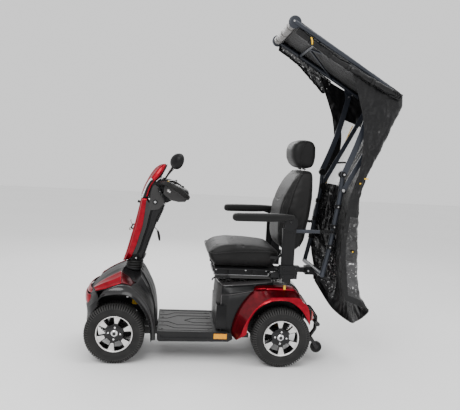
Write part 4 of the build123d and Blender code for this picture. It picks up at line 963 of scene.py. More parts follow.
def small_controls():
    """Dial, key, buttons and levers, each on the body that it moves with."""
    dial = Shape()
    dial.turned([(0, 1043), (9, 1043), (12, 1041.5), (13.8, 1037), (14, 1031), (4, 1031), (4, 1010)],
                (250, 48, 0), (0, 0, 1), steps=36)
    for a in turns(18):
        dial.turned([(0, 1041), (1.1, 1040), (1.3, 1031.5)],
                    (250 + 13.6 * math.cos(a), 48 + 13.6 * math.sin(a), 0), (0, 0, 1), steps=6)
    dial.block(239, 250, 47, 49, 1042.6, 1044.2, 1)
    make("speed_dial_look", dial, [BLACK, GREY_LIGHT], "dial", "speed_dial", bevel=0.3)

    key = Shape()
    key.turned([(0, 1034), (4, 1034), (4, 1010)], (250, -48, 0), (0, 0, 1), steps=16, look=1)
    bow = [(11 * math.cos(a), 1045 + 10 * math.sin(a)) for a in turns(20)]
    key.grid([[(250 + d, -48 + y, z) for y, z in bow] for d in (-3, 3)], 0, around=True, caps=True)
    make("key_look", key, [BLACK, STEEL], "ignition_key", "key", bevel=0.8)

    for way, name, body, look in ((1, "horn_button", "horn", YELLOW), (-1, "light_button", "light_switch",
                                                                      GREY_LIGHT)):
        button = Shape()
        button.turned([(0, 1034.5), (3, 1035), (6, 1035.8), (7, 1034.6), (7, 1017)], (264, 72 * way, 0),
                      (0, 0, 1), steps=28)
        make(f"{name}_look", button, look, body, name, bevel=0.3)

    paddle = Shape()
    paddle.turned([(0, 1036), (6, 1036), (6, 1008)], (306, 0, 0), (0, 0, 1), steps=20)
    for way in (-1, 1):
        paddle.tube([(306, 4 * way, 1034), (305, 50 * way, 1034), (308, 92 * way, 1032),
                     (316, 116 * way, 1028)], [5, 6, 8, 6], sides=16, flat=0.5)
    make("throttle_look", paddle, BLACK, "throttle_paddle", "throttle", sharp=40)

    brake = Shape()
    brake.turned([(0, 990), (7, 990), (8, 988), (8, 978), (6, 976), (0, 976)], (268, 120, 0), (0, 0, 1),
                 steps=24)
    brake.tube([(268, 122, 983), (262, 150, 984), (264, 184, 984), (274, 208, 982), (278, 214, 981)],
               [5.5, 4.6, 4.6, 5.2, 6.2], sides=14)
    make("brake_lever_look", brake, MACHINED, "brake_handle", "brake_lever", sharp=40)

    tilt = Shape()
    tilt.tube([column(205, -30, 0), (190, 0, 746), (204, 0, 741), (213, 0, 728)], 3.4, look=0, sides=12)
    tilt.tube([(212, 0, 731), (216, 0, 722), (222, 0, 700), (226, 0, 678), (228, 0, 668)],
              [4.2, 6.6, 7.8, 6.6, 4.0], look=1, sides=16)
    tilt.turned([(8, -5), (8, 5), (3.1, 5), (3.1, -5)], column(205, -28, 0), (0, 1, 0), look=0, steps=24,
                closed=True)
    make("tilt_lever_look", tilt, [STEEL, BLACK], "tilt_handle", "tilt_lever", sharp=40)

    hook = Shape()
    hook.tube([(70, 0, 744), (58, 0, 738), (47, 0, 728), (45, 0, 738), (54, 0, 748), (60, 0, 760),
               (55, 0, 772), (50, 0, 786), (54, 0, 790)], 3.0, sides=12)
    make("bag_hook_look", hook, GREY_LIGHT, "tiller", sharp=50)


small_controls()


# ---- deck, seat box, rear body ------------------------------------------------------------------
def deck_shape():
    """Footwell floor with its treads, and the skirts along its sides."""
    shape = Shape()
    shape.block(238, 566, -226, 226, 160, 176, 1)
    shape.block(560, 652, -200, 200, 163, 174, 1)
    shape.block(240, 566, -225, 225, 175, 180, 0)
    # Raised angular treads, running back from the front edge and in from the sides.
    treads = [[(246, 34), (296, 34), (356, 96), (562, 96)], [(246, 112), (290, 112), (338, 160), (562, 160)],
              [(400, 0), (452, 46), (562, 46)], [(246, 190), (266, 208), (562, 208)]]
    for tread in treads:
        for way in (-1, 1):
            shape.tube([(s, y * way, 179.4) for s, y in tread], 3.0, look=0, sides=8, steps=1, flat=0.7)
    for y in (-176, -62, 62, 176):
        for s in (268, 540):
            shape.turned([(0, 1.8), (6, 1.4), (7.5, 0), (7.5, -3)], (s, y, 180.6), (0, 0, 1), look=2,
                         steps=16)
    for way in (-1, 1):
        shape.block(560, 652, 195 * way, 228 * way, 163, 176, 1)
        skirt = [(238, 178), (566, 178), (600, 180), (650, 180), (672, 166), (676, 144), (650, 128),
                 (250, 123), (240, 134)]
        shape.plate(skirt, 228 * way, 239 * way, 1)
        shape.tube([(240, 233 * way, 176), (400, 233 * way, 176), (566, 233 * way, 176),
                    (664, 233 * way, 172)], 6.5, look=1, sides=12)
        shape.block(262, 548, 238.5 * way, 241 * way, 146, 151, 2)
        shape.block(286, 310, 238.5 * way, 241.5 * way, 132, 138, 2)
        for s in (660, 262):
            shape.turned([(0, 3), (3.5, 2.6), (4.6, 1), (4.6, -2)], (s, 239 * way, 156), (0, way, 0),
                         look=2, steps=14)
    return shape


def seat_box_shape():
    """Body under the seat: side panels, shoulder band, sloping crown and front."""
    shape = Shape()
    low = [(608, 178, 164), (650, 203, 164), (694, 210, 168)]
    high = [(604, 178, 388), (650, 204, 397), (720, 211, 411), (800, 213, 429)]
    shoulder = [(606, 168, 438), (650, 176, 443), (720, 180, 450), (800, 180, 458), (905, 178, 470)]
    crown = [(584, 104, 449), (640, 108, 455), (720, 110, 462), (800, 112, 472), (905, 112, 483)]
    centre = [(573, 0, 452), (640, 0, 458), (720, 0, 466), (800, 0, 478), (905, 0, 486)]
    shape.panel([low, high], 24, 6, 0, 2.0, smooth=False)
    shape.panel([high + [(860, 212, 436), (905, 212, 440)], shoulder], 24, 4, 1, 0, smooth=False)
    # The crown takes the lighter gloss grey: real gloss, with painted light on the top.
    shape.panel([shoulder, crown, centre], 24, 5, 2, (-4, -1))
    # The front face takes the lighter grey copy: painted light where it faces forward.
    front = [[(608, 178, 164), (598, 150, 163), (586, 100, 162), (579, 0, 162)],
             [(604, 178, 388), (592, 150, 386), (578, 100, 384), (570, 0, 384)],
             [(606, 168, 438), (598, 150, 440), (584, 104, 449), (573, 0, 452)]]
    shape.panel(front, 20, 6, 3, (1.0, -1.0))
    shape.panel([[(694, 210, 168), (745, 212, 300), (800, 213, 429)], [(712, 150, 168), (760, 150, 300),
                (820, 150, 425)]], 8, 3, 1)
    shape.both()
    # Dark recess round the seat post, and the raised edge lines of the side panels.
    shape.turned([(31.5, 452), (31.5, 463), (44, 465), (56, 466.5), (60, 463), (60, 450)], (697, 0, 0),
                 (0, 0, 1), look=1, steps=48)
    for way in (-1, 1):
        shape.tube([(604, 178.5 * way, 388), (650, 204.5 * way, 397), (720, 211.5 * way, 411),
                    (798, 213 * way, 428)], 1.3, look=2, sides=8)
        shape.tube([(607.5, 179 * way, 168), (606, 179 * way, 280), (604, 179 * way, 386)], 1.3, look=2,
                   sides=8)
    return shape


def rear_cover_shape():
    """Glossy cover between the rear fenders, with its yellow tabs and seam; its light grey is a painted
    highlight on a dark panel.
    """
    shape = Shape()
    rails = [[(904, 0, 486), (942, 0, 481), (981, 0, 474), (1039, 0, 452), (1075, 0, 420), (1097, 0, 366)],
             [(904, 112, 484), (942, 116, 478), (981, 118, 470), (1036, 118, 447), (1070, 118, 416),
              (1093, 118, 366)],
             [(905, 164, 474), (942, 165, 467), (978, 164, 458), (1026, 160, 436), (1060, 156, 406),
              (1084, 152, 364)],
             [(906, 179, 450), (942, 180, 448), (978, 180, 442), (1018, 178, 424), (1048, 176, 398),
              (1068, 172, 364)],
             [(906, 180, 410), (942, 181, 410), (978, 181, 404), (1016, 180, 390), (1044, 178, 372),
              (1062, 174, 352)]]
    shape.panel(rails, 26, 4, 0, (0, -2, -3, 0))
    shape.both()
    for way in (-1, 1):
        shape.block(958, 969, 233 * way, 238 * way, 440, 468, 1)
        shape.tube([(908, 120 * way, 484), (906, 168 * way, 470), (907, 181 * way, 440)], 2.2, look=2,
                   sides=8)
        shape.turned([(0, 3), (4, 2.6), (5.4, 0.4), (5.4, -2)], (930, 130 * way, 478), (0, 0.2 * way, 1),
                     look=2, steps=14)
    return shape


FENDER_TOP = [(672, 228, 162), (667, 220, 196), (675, 216, 240), (699, 215, 308), (737, 216, 372),
              (786, 221, 431), (840, 227, 441), (905, 231, 444), (1010, 233, 443), (1042, 238, 424),
              (1068, 242, 392), (1098, 248, 350), (1113, 252, 262)]
FENDER_CREASE = [(690, 256, 149), (706, 280, 168), (718, 289, 191), (735, 291, 243), (763, 292, 296),
                 (792, 292, 338), (831, 292, 376), (868, 292, 402), (906, 291, 409), (1036, 290, 409),
                 (1066, 290, 386), (1100, 290, 350), (1117, 286, 262)]
FENDER_EDGE = [(694, 258, 147), (726, 288, 176), (747, 298, 196), (750, 300, 236), (763, 300, 278),
               (791, 300, 326), (830, 300, 363), (880, 300, 388), (931, 300, 395), (983, 300, 391),
               (1026, 300, 369), (1065, 300, 334), (1093, 298, 292), (1112, 294, 254)]


def fender_shape():
    """Red rear fender with its crease, lip, inner slope, top step and dark liner."""
    shape = Shape()
    # From the top to the crease the fender takes the darker red copy as painted shade; below it the plain red.
    shape.panel([FENDER_TOP, FENDER_CREASE], 48, 5, 1, -2.0)
    shape.panel([FENDER_CREASE, FENDER_EDGE], 48, 4, 0, -2.0)
    shape.panel([FENDER_EDGE, [(s, y - 7, z + 1) for s, y, z in FENDER_EDGE]], 48, 2, 0)
    inner = [(800, 181, 450), (840, 181, 456), (905, 181, 458), (1006, 181, 455), (1038, 181, 436),
             (1066, 181, 400), (1098, 181, 354), (1113, 181, 262)]
    shape.panel([FENDER_TOP[5:], inner], 30, 4, 0, (-3.0))
    # A raised step along the top, where the fender meets the cover.
    shape.panel([[(856, 206, 456), (900, 208, 460), (1010, 208, 458), (1024, 210, 452)],
                 [(856, 232, 446), (900, 234, 449), (1010, 236, 448), (1024, 236, 442)],
                 [(856, 236, 438), (900, 238, 441), (1010, 240, 440), (1024, 240, 436)]], 16, 2, 0, (-1, 0))
    liner = [[(s, y - 8, z + 1) for s, y, z in FENDER_EDGE], [(s, 232, z + 4) for s, _, z in FENDER_EDGE],
             [(s, 183, z + 2) for s, _, z in FENDER_EDGE]]
    shape.panel(liner, 40, 3, 2)
    arch = FENDER_EDGE[5:13]
    shape.panel([[(s, 182, z + 2) for s, _, z in arch], [(s, 181, max(z - 90, 236)) for s, _, z in arch]],
                30, 3, 2)
    return shape.both()


def under_body():
    """Bolts and brackets that show round the rear axle."""
    shape = Shape()
    for way in (-1, 1):
        shape.turned([(0, 12), (7, 12), (9, 9), (9, 0)], (735, 84 * way, 185), (0, way, 0), look=1, steps=6)
        shape.turned([(13, 0), (13, 4), (10, 5), (8, 3)], (735, 83 * way, 185), (0, way, 0), look=0, steps=28)
        shape.block(700, 770, 214 * way, 219 * way, 150, 178, 0)
        shape.turned([(0, 8), (6, 8), (8, 6), (8, 0)], (736, 219 * way, 166), (0, way, 0), look=1, steps=20)
        shape.turned([(12, 0), (12, 3), (9.5, 4), (8.4, 3)], (736, 219 * way, 166), (0, way, 0), look=0,
                     steps=28)
        shape.tube([(704, 150 * way, 300), (716, 170 * way, 276), (724, 176 * way, 262)], 5, look=1, sides=10)
        shape.tube([(1098, 140 * way, 300), (1108, 158 * way, 280), (1112, 164 * way, 272)], 6, look=0,
                   sides=12)
    return shape


def tail_lamp_shape():
    """Square red lamps with rounded corners, a ribbed lens and a black surround."""
    shape = Shape()
    rows = []
    for depth, inset in ((1118, 0), (1130, 1), (1134, 5), (1136, 10)):
        ring = []
        for a in turns(32):
            ring.append((depth, 240 + (30 - inset) * squared(math.cos(a), 0.45),
                         300 + (30 - inset) * squared(math.sin(a), 0.45)))
        rows.append(ring)
    shape.grid(rows, 0, around=True, caps=True)
    for k in range(5):
        shape.block(1133, 1137, 216, 264, 278 + 10 * k, 281 + 10 * k, 0)
    shape.grid([[(s, 240 + (p[1] - 240) * 1.08, 300 + (p[2] - 300) * 1.08) for p in rows[0]]
                for s in (1114, 1126)], 1, around=True, caps=True)
    return shape.both()


make("floor_deck_look", deck_shape(), [MAT, SHELL, BLACK], "chassis", "floor_deck", bevel=1.0)
make("seat_box_look", seat_box_shape(), [SHELL, BLACK_SATIN, CROWN_GREY_PAINTED_LIGHT, SHELL_FRONT_PAINTED_LIGHT], "chassis", "seat_box",
     sharp=24, thick=2.5)
make("rear_cover_look", rear_cover_shape(), [REAR_COVER_PAINTED_HIGHLIGHT, YELLOW, BLACK], "chassis", "rear_cover",
     sharp=30, thick=2.5)
make("rear_fenders_look", fender_shape(), [RED, RED_BAND_PAINTED_SHADE, BLACK], "chassis", "rear_fenders",
     sharp=22, thick=2.5)
make("rear_brackets_look", under_body(), [FRAME, STEEL], "chassis", bevel=0.6)
make("tail_lamps_look", tail_lamp_shape(), [RED_LENS, BLACK], "chassis", "tail_lamps", bevel=0.6)


# ---- seat ---------------------------------------------------------------------------------------
def between(line, place):
    """The value of a line of (place, value) at this place."""
    for (a, low), (b, high) in zip(line, line[1:]):
        if place <= b:
            return low + (high - low) * max(0.0, (place - a) / max(b - a, 1e-9))
    return line[-1][1]


CUSHION_MIDDLE, CUSHION_REACH = 718, 211
CUSHION_TOP = [(507, 640), (514, 656), (532, 672), (560, 682), (632, 694), (760, 691), (890, 678), (930, 664)]
CUSHION_LOW = [(507, 634), (512, 608), (524, 586), (552, 562), (880, 562), (912, 580), (930, 606)]
CUSHION_PIPING = [(507, 638), (518, 646), (544, 641), (632, 652), (732, 661), (862, 663), (930, 650)]
CUSHION_HALF = [(507, 190), (511, 208), (520, 226), (538, 237), (580, 240), (880, 240), (912, 232),
                (930, 208)]


def cushion_shape(shrink):
    """Seat cushion: crowned above its piping line and drawn in below it."""
    shape = Shape()
    rows = []
    for i in range(37):
        s = CUSHION_MIDDLE - CUSHION_REACH * squared(math.cos(math.pi * i / 36), 0.8)
        top, low, middle, half = (between(line, s) for line in (CUSHION_TOP, CUSHION_LOW, CUSHION_PIPING,
                                                                CUSHION_HALF))
        top, low, half = top - shrink, low + shrink, half - shrink
        s = CUSHION_MIDDLE + (s - CUSHION_MIDDLE) * (1 - shrink / CUSHION_REACH)
        ring = []
        for a in turns(52):
            across, up = math.cos(a), math.sin(a)
            side = half * squared(across, 0.3)
            if up >= 0:
                height = middle + (top - middle) * up ** 0.8
            else:
                height = middle - (middle - low) * abs(up) ** 0.6
                side *= 1 - 0.09 * abs(up)
            ring.append((s, side, height))
        rows.append(ring)
    return shape.grid(rows, around=True, caps=True)


BACK_MIDDLE, BACK_REACH = 903, 241
BACK_FRONT = [(664, 944), (700, 932), (740, 923), (840, 920), (925, 930), (985, 950), (1035, 972),
              (1090, 1004), (1122, 1028), (1136, 1046), (1144, 1062)]
BACK_REAR = [(664, 1040), (690, 1062), (730, 1080), (812, 1090), (874, 1104), (976, 1114), (1076, 1112),
             (1127, 1113), (1137, 1108), (1144, 1096)]
BACK_HALF = [(664, 186), (690, 204), (760, 211), (900, 213), (1000, 211), (1060, 206), (1100, 196),
             (1125, 182), (1138, 164), (1144, 140)]


HEAD_MIDDLE, HEAD_REACH = 1234, 82
HEAD_FRONT = [(1147, 1044), (1158, 1020), (1175, 1002), (1210, 985), (1260, 983), (1294, 994), (1311, 1018),
              (1321, 1066)]
HEAD_REAR = [(1147, 1092), (1156, 1118), (1175, 1128), (1217, 1134), (1279, 1133), (1303, 1122), (1314, 1108),
             (1321, 1088)]
HEAD_HALF = [(1147, 104), (1158, 117), (1180, 127), (1240, 131), (1290, 128), (1310, 116), (1321, 88)]


def upright_pad(lines, middle, reach, steps, sides, corners, dish, shrink):
    """A standing pad from its front, rear and half-width lines, each of (height, value).

    corners holds the powers that square off its sides, its back and its front. dish says how far the sides
    of the front lie forward of its middle.
    """
    shape = Shape()
    side_power, back_power, front_power = corners
    rows = []
    for i in range(steps + 1):
        z = middle - reach * math.cos(math.pi * i / steps)
        front, rear, half = (between(line, z) for line in lines)
        front, rear, half = front + shrink, rear - shrink, half - shrink
        z = middle + (z - middle) * (1 - shrink / reach)
        centre, deep = (front + rear) / 2, (rear - front) / 2
        ring = []
        for a in turns(sides):
            side = half * squared(math.cos(a), side_power)
            back = math.sin(a)
            depth = deep * squared(back, back_power if back > 0 else front_power)
            lean = dish * (abs(side) / half) ** 3 if back < 0 else 0
            ring.append((centre + depth + lean * 0.6, side, z))
        rows.append(ring)
    return shape.grid(rows, around=True, caps=True)


def stuffed(name, shape, look, body, node, voxel, cap, grooves=()):
    """A stuffed piece: remeshed, blown up a little as cloth, then given its sewn grooves."""
    obj = make(name, shape, look, None, sharp=180)
    work = obj.modifiers.new("remesh", "REMESH")
    work.mode, work.voxel_size = "VOXEL", voxel * MM
    apply_modifiers(obj)
    obj.data.shade_smooth()
    rest = [v.co.copy() for v in obj.data.vertices]
    cloth = obj.modifiers.new("cloth", "CLOTH")
    cloth.settings.use_pressure = True
    cloth.settings.uniform_pressure_force = 4
    cloth.settings.effector_weights.gravity = 0
    cloth.settings.tension_stiffness = cloth.settings.compression_stiffness = 30
    cloth.point_cache.frame_start, cloth.point_cache.frame_end = 1, 20
    for step in range(1, 21):
        bpy.context.scene.frame_set(step)
    apply_modifiers(obj)
    bpy.context.scene.frame_set(1)
    for v, home in zip(obj.data.vertices, rest):
        move = v.co - home
        if move.length > cap * MM:
            v.co = home + move.normalized() * cap * MM
    smooth_vertices(obj, 3)
    for groove in grooves:
        sew(obj, *groove)
    obj.data.materials.clear()
    obj.data.materials.append(look)
    subdivide = obj.modifiers.new("finish", "SUBSURF")
    subdivide.levels = subdivide.render_levels = 1
    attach(obj, body)
    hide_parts(node)


def apply_modifiers(obj):
    """Bakes the modifiers into the mesh."""
    graph = bpy.context.evaluated_depsgraph_get()
    mesh = bpy.data.meshes.new_from_object(obj.evaluated_get(graph), depsgraph=graph)
    obj.modifiers.clear()
    old = obj.data
    obj.data = mesh
    bpy.data.meshes.remove(old)


def smooth_vertices(obj, times):
    work = bmesh.new()
    work.from_mesh(obj.data)
    for _ in range(times):
        bmesh.ops.smooth_vert(work, verts=work.verts, factor=0.5, use_axis_x=True, use_axis_y=True,
                              use_axis_z=True)
    work.to_mesh(obj.data)
    work.free()


def sew(obj, path, depth, width, inward):
    """Presses a sewn line into a pad along a path, with a soft roll each side."""
    line = [at(*p) for p in even_line(path, 24)]
    push = Vector((-inward[0], inward[1], inward[2])).normalized() * depth * MM
    reach = width * MM
    low = Vector([min(p[axis] for p in line) - reach * 3 for axis in range(3)])
    high = Vector([max(p[axis] for p in line) + reach * 3 for axis in range(3)])
    for v in obj.data.vertices:
        if any(not low[axis] < v.co[axis] < high[axis] for axis in range(3)):
            continue
        near = min(segment_distance(v.co, a, b) for a, b in zip(line, line[1:]))
        if near < reach * 3:
            v.co += push * (math.exp(-(near / (reach * 0.45)) ** 2) - 0.22 * math.exp(-((near - reach) /
                                                                                     (reach * 0.6)) ** 2))


def segment_distance(point, a, b):
    along = b - a
    part = max(0.0, min(1.0, (point - a).dot(along) / max(along.length_squared, 1e-12)))
    return (point - (a + along * part)).length


stuffed("seat_cushion_look", cushion_shape(3), VINYL, "seat", "seat_cushion", 6, 6,
        [([(715, -225, 684), (700, -120, 690), (664, 0, 693), (700, 120, 690), (715, 225, 684)], 6, 8,
          (0, 0, -1)),
         ([(548, -160, 680), (690, -150, 692), (880, -140, 678)], 4, 8, (0, 0, -1)),
         ([(548, 160, 680), (690, 150, 692), (880, 140, 678)], 4, 8, (0, 0, -1))])
stuffed("seat_backrest_look",
        upright_pad((BACK_FRONT, BACK_REAR, BACK_HALF), BACK_MIDDLE, BACK_REACH, 40, 56, (0.34, 0.34, 0.55),
                    -9, 3), VINYL, "backrest", "seat_backrest", 6, 6,
        [([(952, -84, 985), (944, -60, 964), (938, 0, 952), (944, 60, 964), (952, 84, 985)], 7, 8,
          (1, 0, 0)),
         ([(932, 158, 720), (926, 160, 840), (940, 160, 940), (988, 156, 1040), (1018, 150, 1108)], 5, 8,
          (1, 0, 0)),
         ([(932, -158, 720), (926, -160, 840), (940, -160, 940), (988, -156, 1040), (1018, -150, 1108)], 5,
          8, (1, 0, 0))])
stuffed("seat_headrest_look",
        upright_pad((HEAD_FRONT, HEAD_REAR, HEAD_HALF), HEAD_MIDDLE, HEAD_REACH, 28, 48, (0.36, 0.4, 0.62),
                    0, 2), VINYL, "headrest", "seat_headrest", 5, 5)


BACK_SEAM = [(946, 0.985, 690), (940, 0.985, 740), (944, 0.985, 820), (957, 0.985, 888), (972, 0.985, 949),
             (990, 0.985, 1020), (1016, 0.975, 1082), (1040, 0.94, 1118), (1052, 0.88, 1132)]
BACK_REAR_SEAM = [(1046, 0.9, 690), (1068, 0.9, 740), (1078, 0.9, 812), (1090, 0.9, 874), (1099, 0.9, 976),
                  (1098, 0.9, 1076), (1098, 0.88, 1118)]


def seams():
    """Piping round the cushion, the backrest and the headrest."""
    piping = Shape()
    line = [(s, between(CUSHION_HALF, s) - 1.0, between(CUSHION_PIPING, s)) for s in
            (514, 520, 530, 545, 570, 620, 700, 780, 840, 880, 905)]
    piping.tube(line, 3.6, sides=8)
    piping.both()
    nose = [(517, 212, 643), (513, 180, 641), (511, 90, 640), (511, 0, 640)]
    piping.tube(nose + [(s, -y, z) for s, y, z in nose[-2::-1]], 3.0, sides=8)
    make("cushion_piping", piping, VINYL, "seat", sharp=60)

    back = Shape()
    for seam_line in (BACK_SEAM, BACK_REAR_SEAM):
        points = [(s, between(BACK_HALF, z) * share, z) for s, share, z in seam_line]
        back.tube(points, 2.4, sides=8)
    back.both()
    pocket = [(955, -64, 1004), (956, -60, 980), (954, 0, 972), (956, 60, 980), (955, 64, 1004)]
    back.tube(pocket, 1.6, sides=8)
    make("backrest_piping", back, VINYL, "backrest", sharp=60)

    head = Shape()
    seam_line = [(1045, 1157), (1040, 1186), (1037, 1223), (1044, 1262), (1057, 1295), (1063, 1307)]
    points = [(s, between(HEAD_HALF, z) - 1.0, z) for s, z in seam_line]
    head.tube(points + [(1070, 80, 1316), (1072, 0, 1317)], 2.2, sides=8)
    head.both()
    for way in (-1, 1):
        head.turned([(6, 0), (6, 60)], (1070, 60 * way, 1100), (0.1, 0, 1), look=1, steps=16)
        head.turned([(12, 0), (12, 4), (9, 6), (6.5, 6)], (1074, 60 * way, 1142), (0.1, 0, 1), look=2,
                    steps=20)
    make("headrest_piping", head, [VINYL, CHROME, BLACK], "headrest", sharp=60)


seams()


def armrest_shape():
    """Ridged pad on a black carrier with its pivot bolt."""
    shape = Shape()
    stations = [(634, 862, 5, 16), (637, 862, 14, 24), (644, 863, 20, 29), (660, 863, 23, 31),
                (760, 865, 24, 31), (860, 867, 23, 31), (925, 870, 19, 30), (966, 873, 13, 28),
                (984, 875, 9, 24), (988, 876, 4, 18)]
    rows = []
    for s, middle, tall, half in stations:
        ring = []
        for a in turns(44):
            side = half * squared(math.cos(a), 0.5)
            up = tall * squared(math.sin(a), 0.7)
            groove = 1.8 * math.exp(
                -((up - tall * 0.15) / 3.0) ** 2) + 1.4 * math.exp(-((up + tall * 0.45) / 3.0) ** 2)
            ring.append((s, ARMREST_SIDE + side - math.copysign(groove, side) * (abs(side) > half * 0.8),
                         middle + up))
        rows.append(ring)
    rows = [list(row) for row in zip(*[even_line(list(line), 40) for line in zip(*rows)])]
    shape.grid(rows, 0, around=True, caps=True)
    carrier = [(880, 848), (900, 846), (928, 838), (940, 832), (965, 830), (978, 838), (982, 852), (984, 866),
               (900, 866)]
    shape.plate(carrier, ARMREST_SIDE - 12, ARMREST_SIDE + 12, 1)
    shape.turned([(0, 5), (5, 5), (7, 3.4), (8.5, 1.2), (8.5, -2)], (965, ARMREST_SIDE + 19, 848),
                 (0, 1, 0), look=2, steps=24)
    return shape


def upright_shape():
    """Fluted upright between two clamps, with its carrier under the seat."""
    shape = Shape()
    outline = []
    for a in turns(120):
        s = 960.5 + 37 * squared(math.cos(a), 0.22)
        y = ARMREST_SIDE + 10 * squared(math.sin(a), 0.22)
        flute = 2.2 * (0.5 + 0.5 * math.cos((s - 960.5) / 37 * math.pi * 3.0)) ** 2
        y += math.copysign(flute, ARMREST_SIDE - y) * (abs(y - ARMREST_SIDE) > 7)
        outline.append((s, y))
    shape.grid([[(s, y, z) for s, y in outline] for z in (578, 700, 806)], 0, around=True, caps=True)
    shape.block(922, 999, ARMREST_SIDE - 14, ARMREST_SIDE + 14, 788, 808, 1)
    cheeks = [(930, 804), (961, 796), (991, 804), (1004, 828), (1004, 852), (992, 872), (966, 876),
              (934, 848)]
    for side in (-17, 17):
        shape.plate(cheeks, ARMREST_SIDE + side - 3, ARMREST_SIDE + side + 3, 1)
    # Stepped clamps round the foot.
    for low, high, rear, deep, half in (
        (566, 597, 914, 1029, 19), (548, 566, 918, 1020, 16), (522, 548, 922, 1018, 18),
        (500, 522, 939, 984, 13)):
        shape.block(rear, deep, ARMREST_SIDE - half, ARMREST_SIDE + half, low, high, 1)
    shape.block(925, 1000, 232, ARMREST_SIDE + 4, 544, 574, 1)
    for s in (936, 1004):
        shape.turned([(0, 6), (5, 6), (7, 3), (7, -3)], (s, ARMREST_SIDE + 19, 582), (0, 1, 0), look=2,
                     steps=6)
        shape.turned([(0, 5), (4, 5), (6, 2.5), (6, -3)], (s, ARMREST_SIDE + 18, 535), (0, 1, 0), look=2,
                     steps=6)
    shape.turned([(0, 10), (9, 10), (13, 6), (14, 0)], (1020, ARMREST_SIDE - 4, 582), (1, 0, 0), look=1,
                 steps=16)
    return shape.both()



def slide_shape():
    """Seat pan and its stiffening ribs, the runners under it, and the side plates that carry the backrest."""
    shape = Shape()
    shape.block(555, 924, -214, 214, 548, 554, 0)
    for way in (-1, 1):
        for low, high in ((546, 886), (556, 874)):
            shape.block(low, high, 128 * way, 162 * way, 528 if low < 550 else 508,
                        548 if low < 550 else 528, 0)
        shape.block(552, 880, 136 * way, 154 * way, 503.5, 508, 1)
        for s in (566, 650, 740, 862):
            shape.turned([(0, 4), (5, 4), (6, 2), (6, -1)], (s, 162 * way, 538), (0, way, 0), look=1, steps=6)
        shape.block(640, 668, 100 * way, 176 * way, 512, 546, 0)
        shape.block(780, 812, 100 * way, 176 * way, 512, 546, 0)
        side = [(880, 506), (1010, 506), (1010, 560), (1003, 700), (985, 716), (965, 700), (940, 560),
                (880, 540)]
        shape.plate(side, 224 * way, 232 * way, 0)
        shape.block(880, 924, 150 * way, 232 * way, 506, 512, 0)
        shape.turned([(0, 8), (8, 7.6), (10, 5), (10, -30)], (985, 248 * way, 690), (0, way, 0), look=1,
                     steps=24)
    shape.tube([(985, -246, 690), (985, 246, 690)], 8, look=1, sides=20, steps=1)
    for s in (600, 700, 800):
        shape.block(s, s + 14, -200, 200, 541, 548, 0)
    shape.tube([(560, -150, 514), (556, -140, 512), (552, 0, 512), (556, 140, 512), (560, 150, 514)], 4.5,
               look=1, sides=10)
    return shape


make("slide_plate_look", slide_shape(), [BLACK, STEEL], "seat", "slide_plate", bevel=0.8)


arm = armrest_shape()
for hand, twin in (("left", arm), ("right", arm.mirrored())):
    pad = make(f"armrest_{hand}_look", twin, [VINYL_SMOOTH, BLACK, BLACK_GLOSS], f"armrest_{hand[0]}",
               f"armrest_{hand}", sharp=40)
make("arm_uprights_look", upright_shape(), [BLACK_SATIN, BLACK, BLACK_GLOSS], "seat", "arm_uprights",
     sharp=30, bevel=1.0)


# ---- canopy frame -------------------------------------------------------------------------------
ARM_PIVOT = (1262.0, 1128.0)
LINK_PIVOT = (1270.0, 1036.0)
ROOF_PIVOT = (1413.0, 1624.0)
ROOF_LINK_PIN = (1540.0, 1560.0)
ROOF_FRONT = (925.0, 1955.0)
ROOF_REAR = (1552.0, 1588.0)
RAIL_SIDE = 275.0
ROLL_STEPS = 96
NEAR_ROLL_TIES = (0.14, 0.33, 0.52, 0.74)


def along_roof(part, side, lift=0.0):
    """A place this far along the roof rails, and this far above them."""
    ds, dz = ROOF_REAR[0] - ROOF_FRONT[0], ROOF_REAR[1] - ROOF_FRONT[1]
    length = math.hypot(ds, dz)
    return (ROOF_FRONT[0] + ds * part - dz / length * lift, side,
            ROOF_FRONT[1] + dz * part + ds / length * lift)


def bolt(shape, station, side, height, size, look):
    shape.turned([(0, size * 0.75), (size * 0.85, size * 0.7), (size, size * 0.4), (size, -3)],
                 (station, side, height), (0, 1, 0), look=look, steps=6)


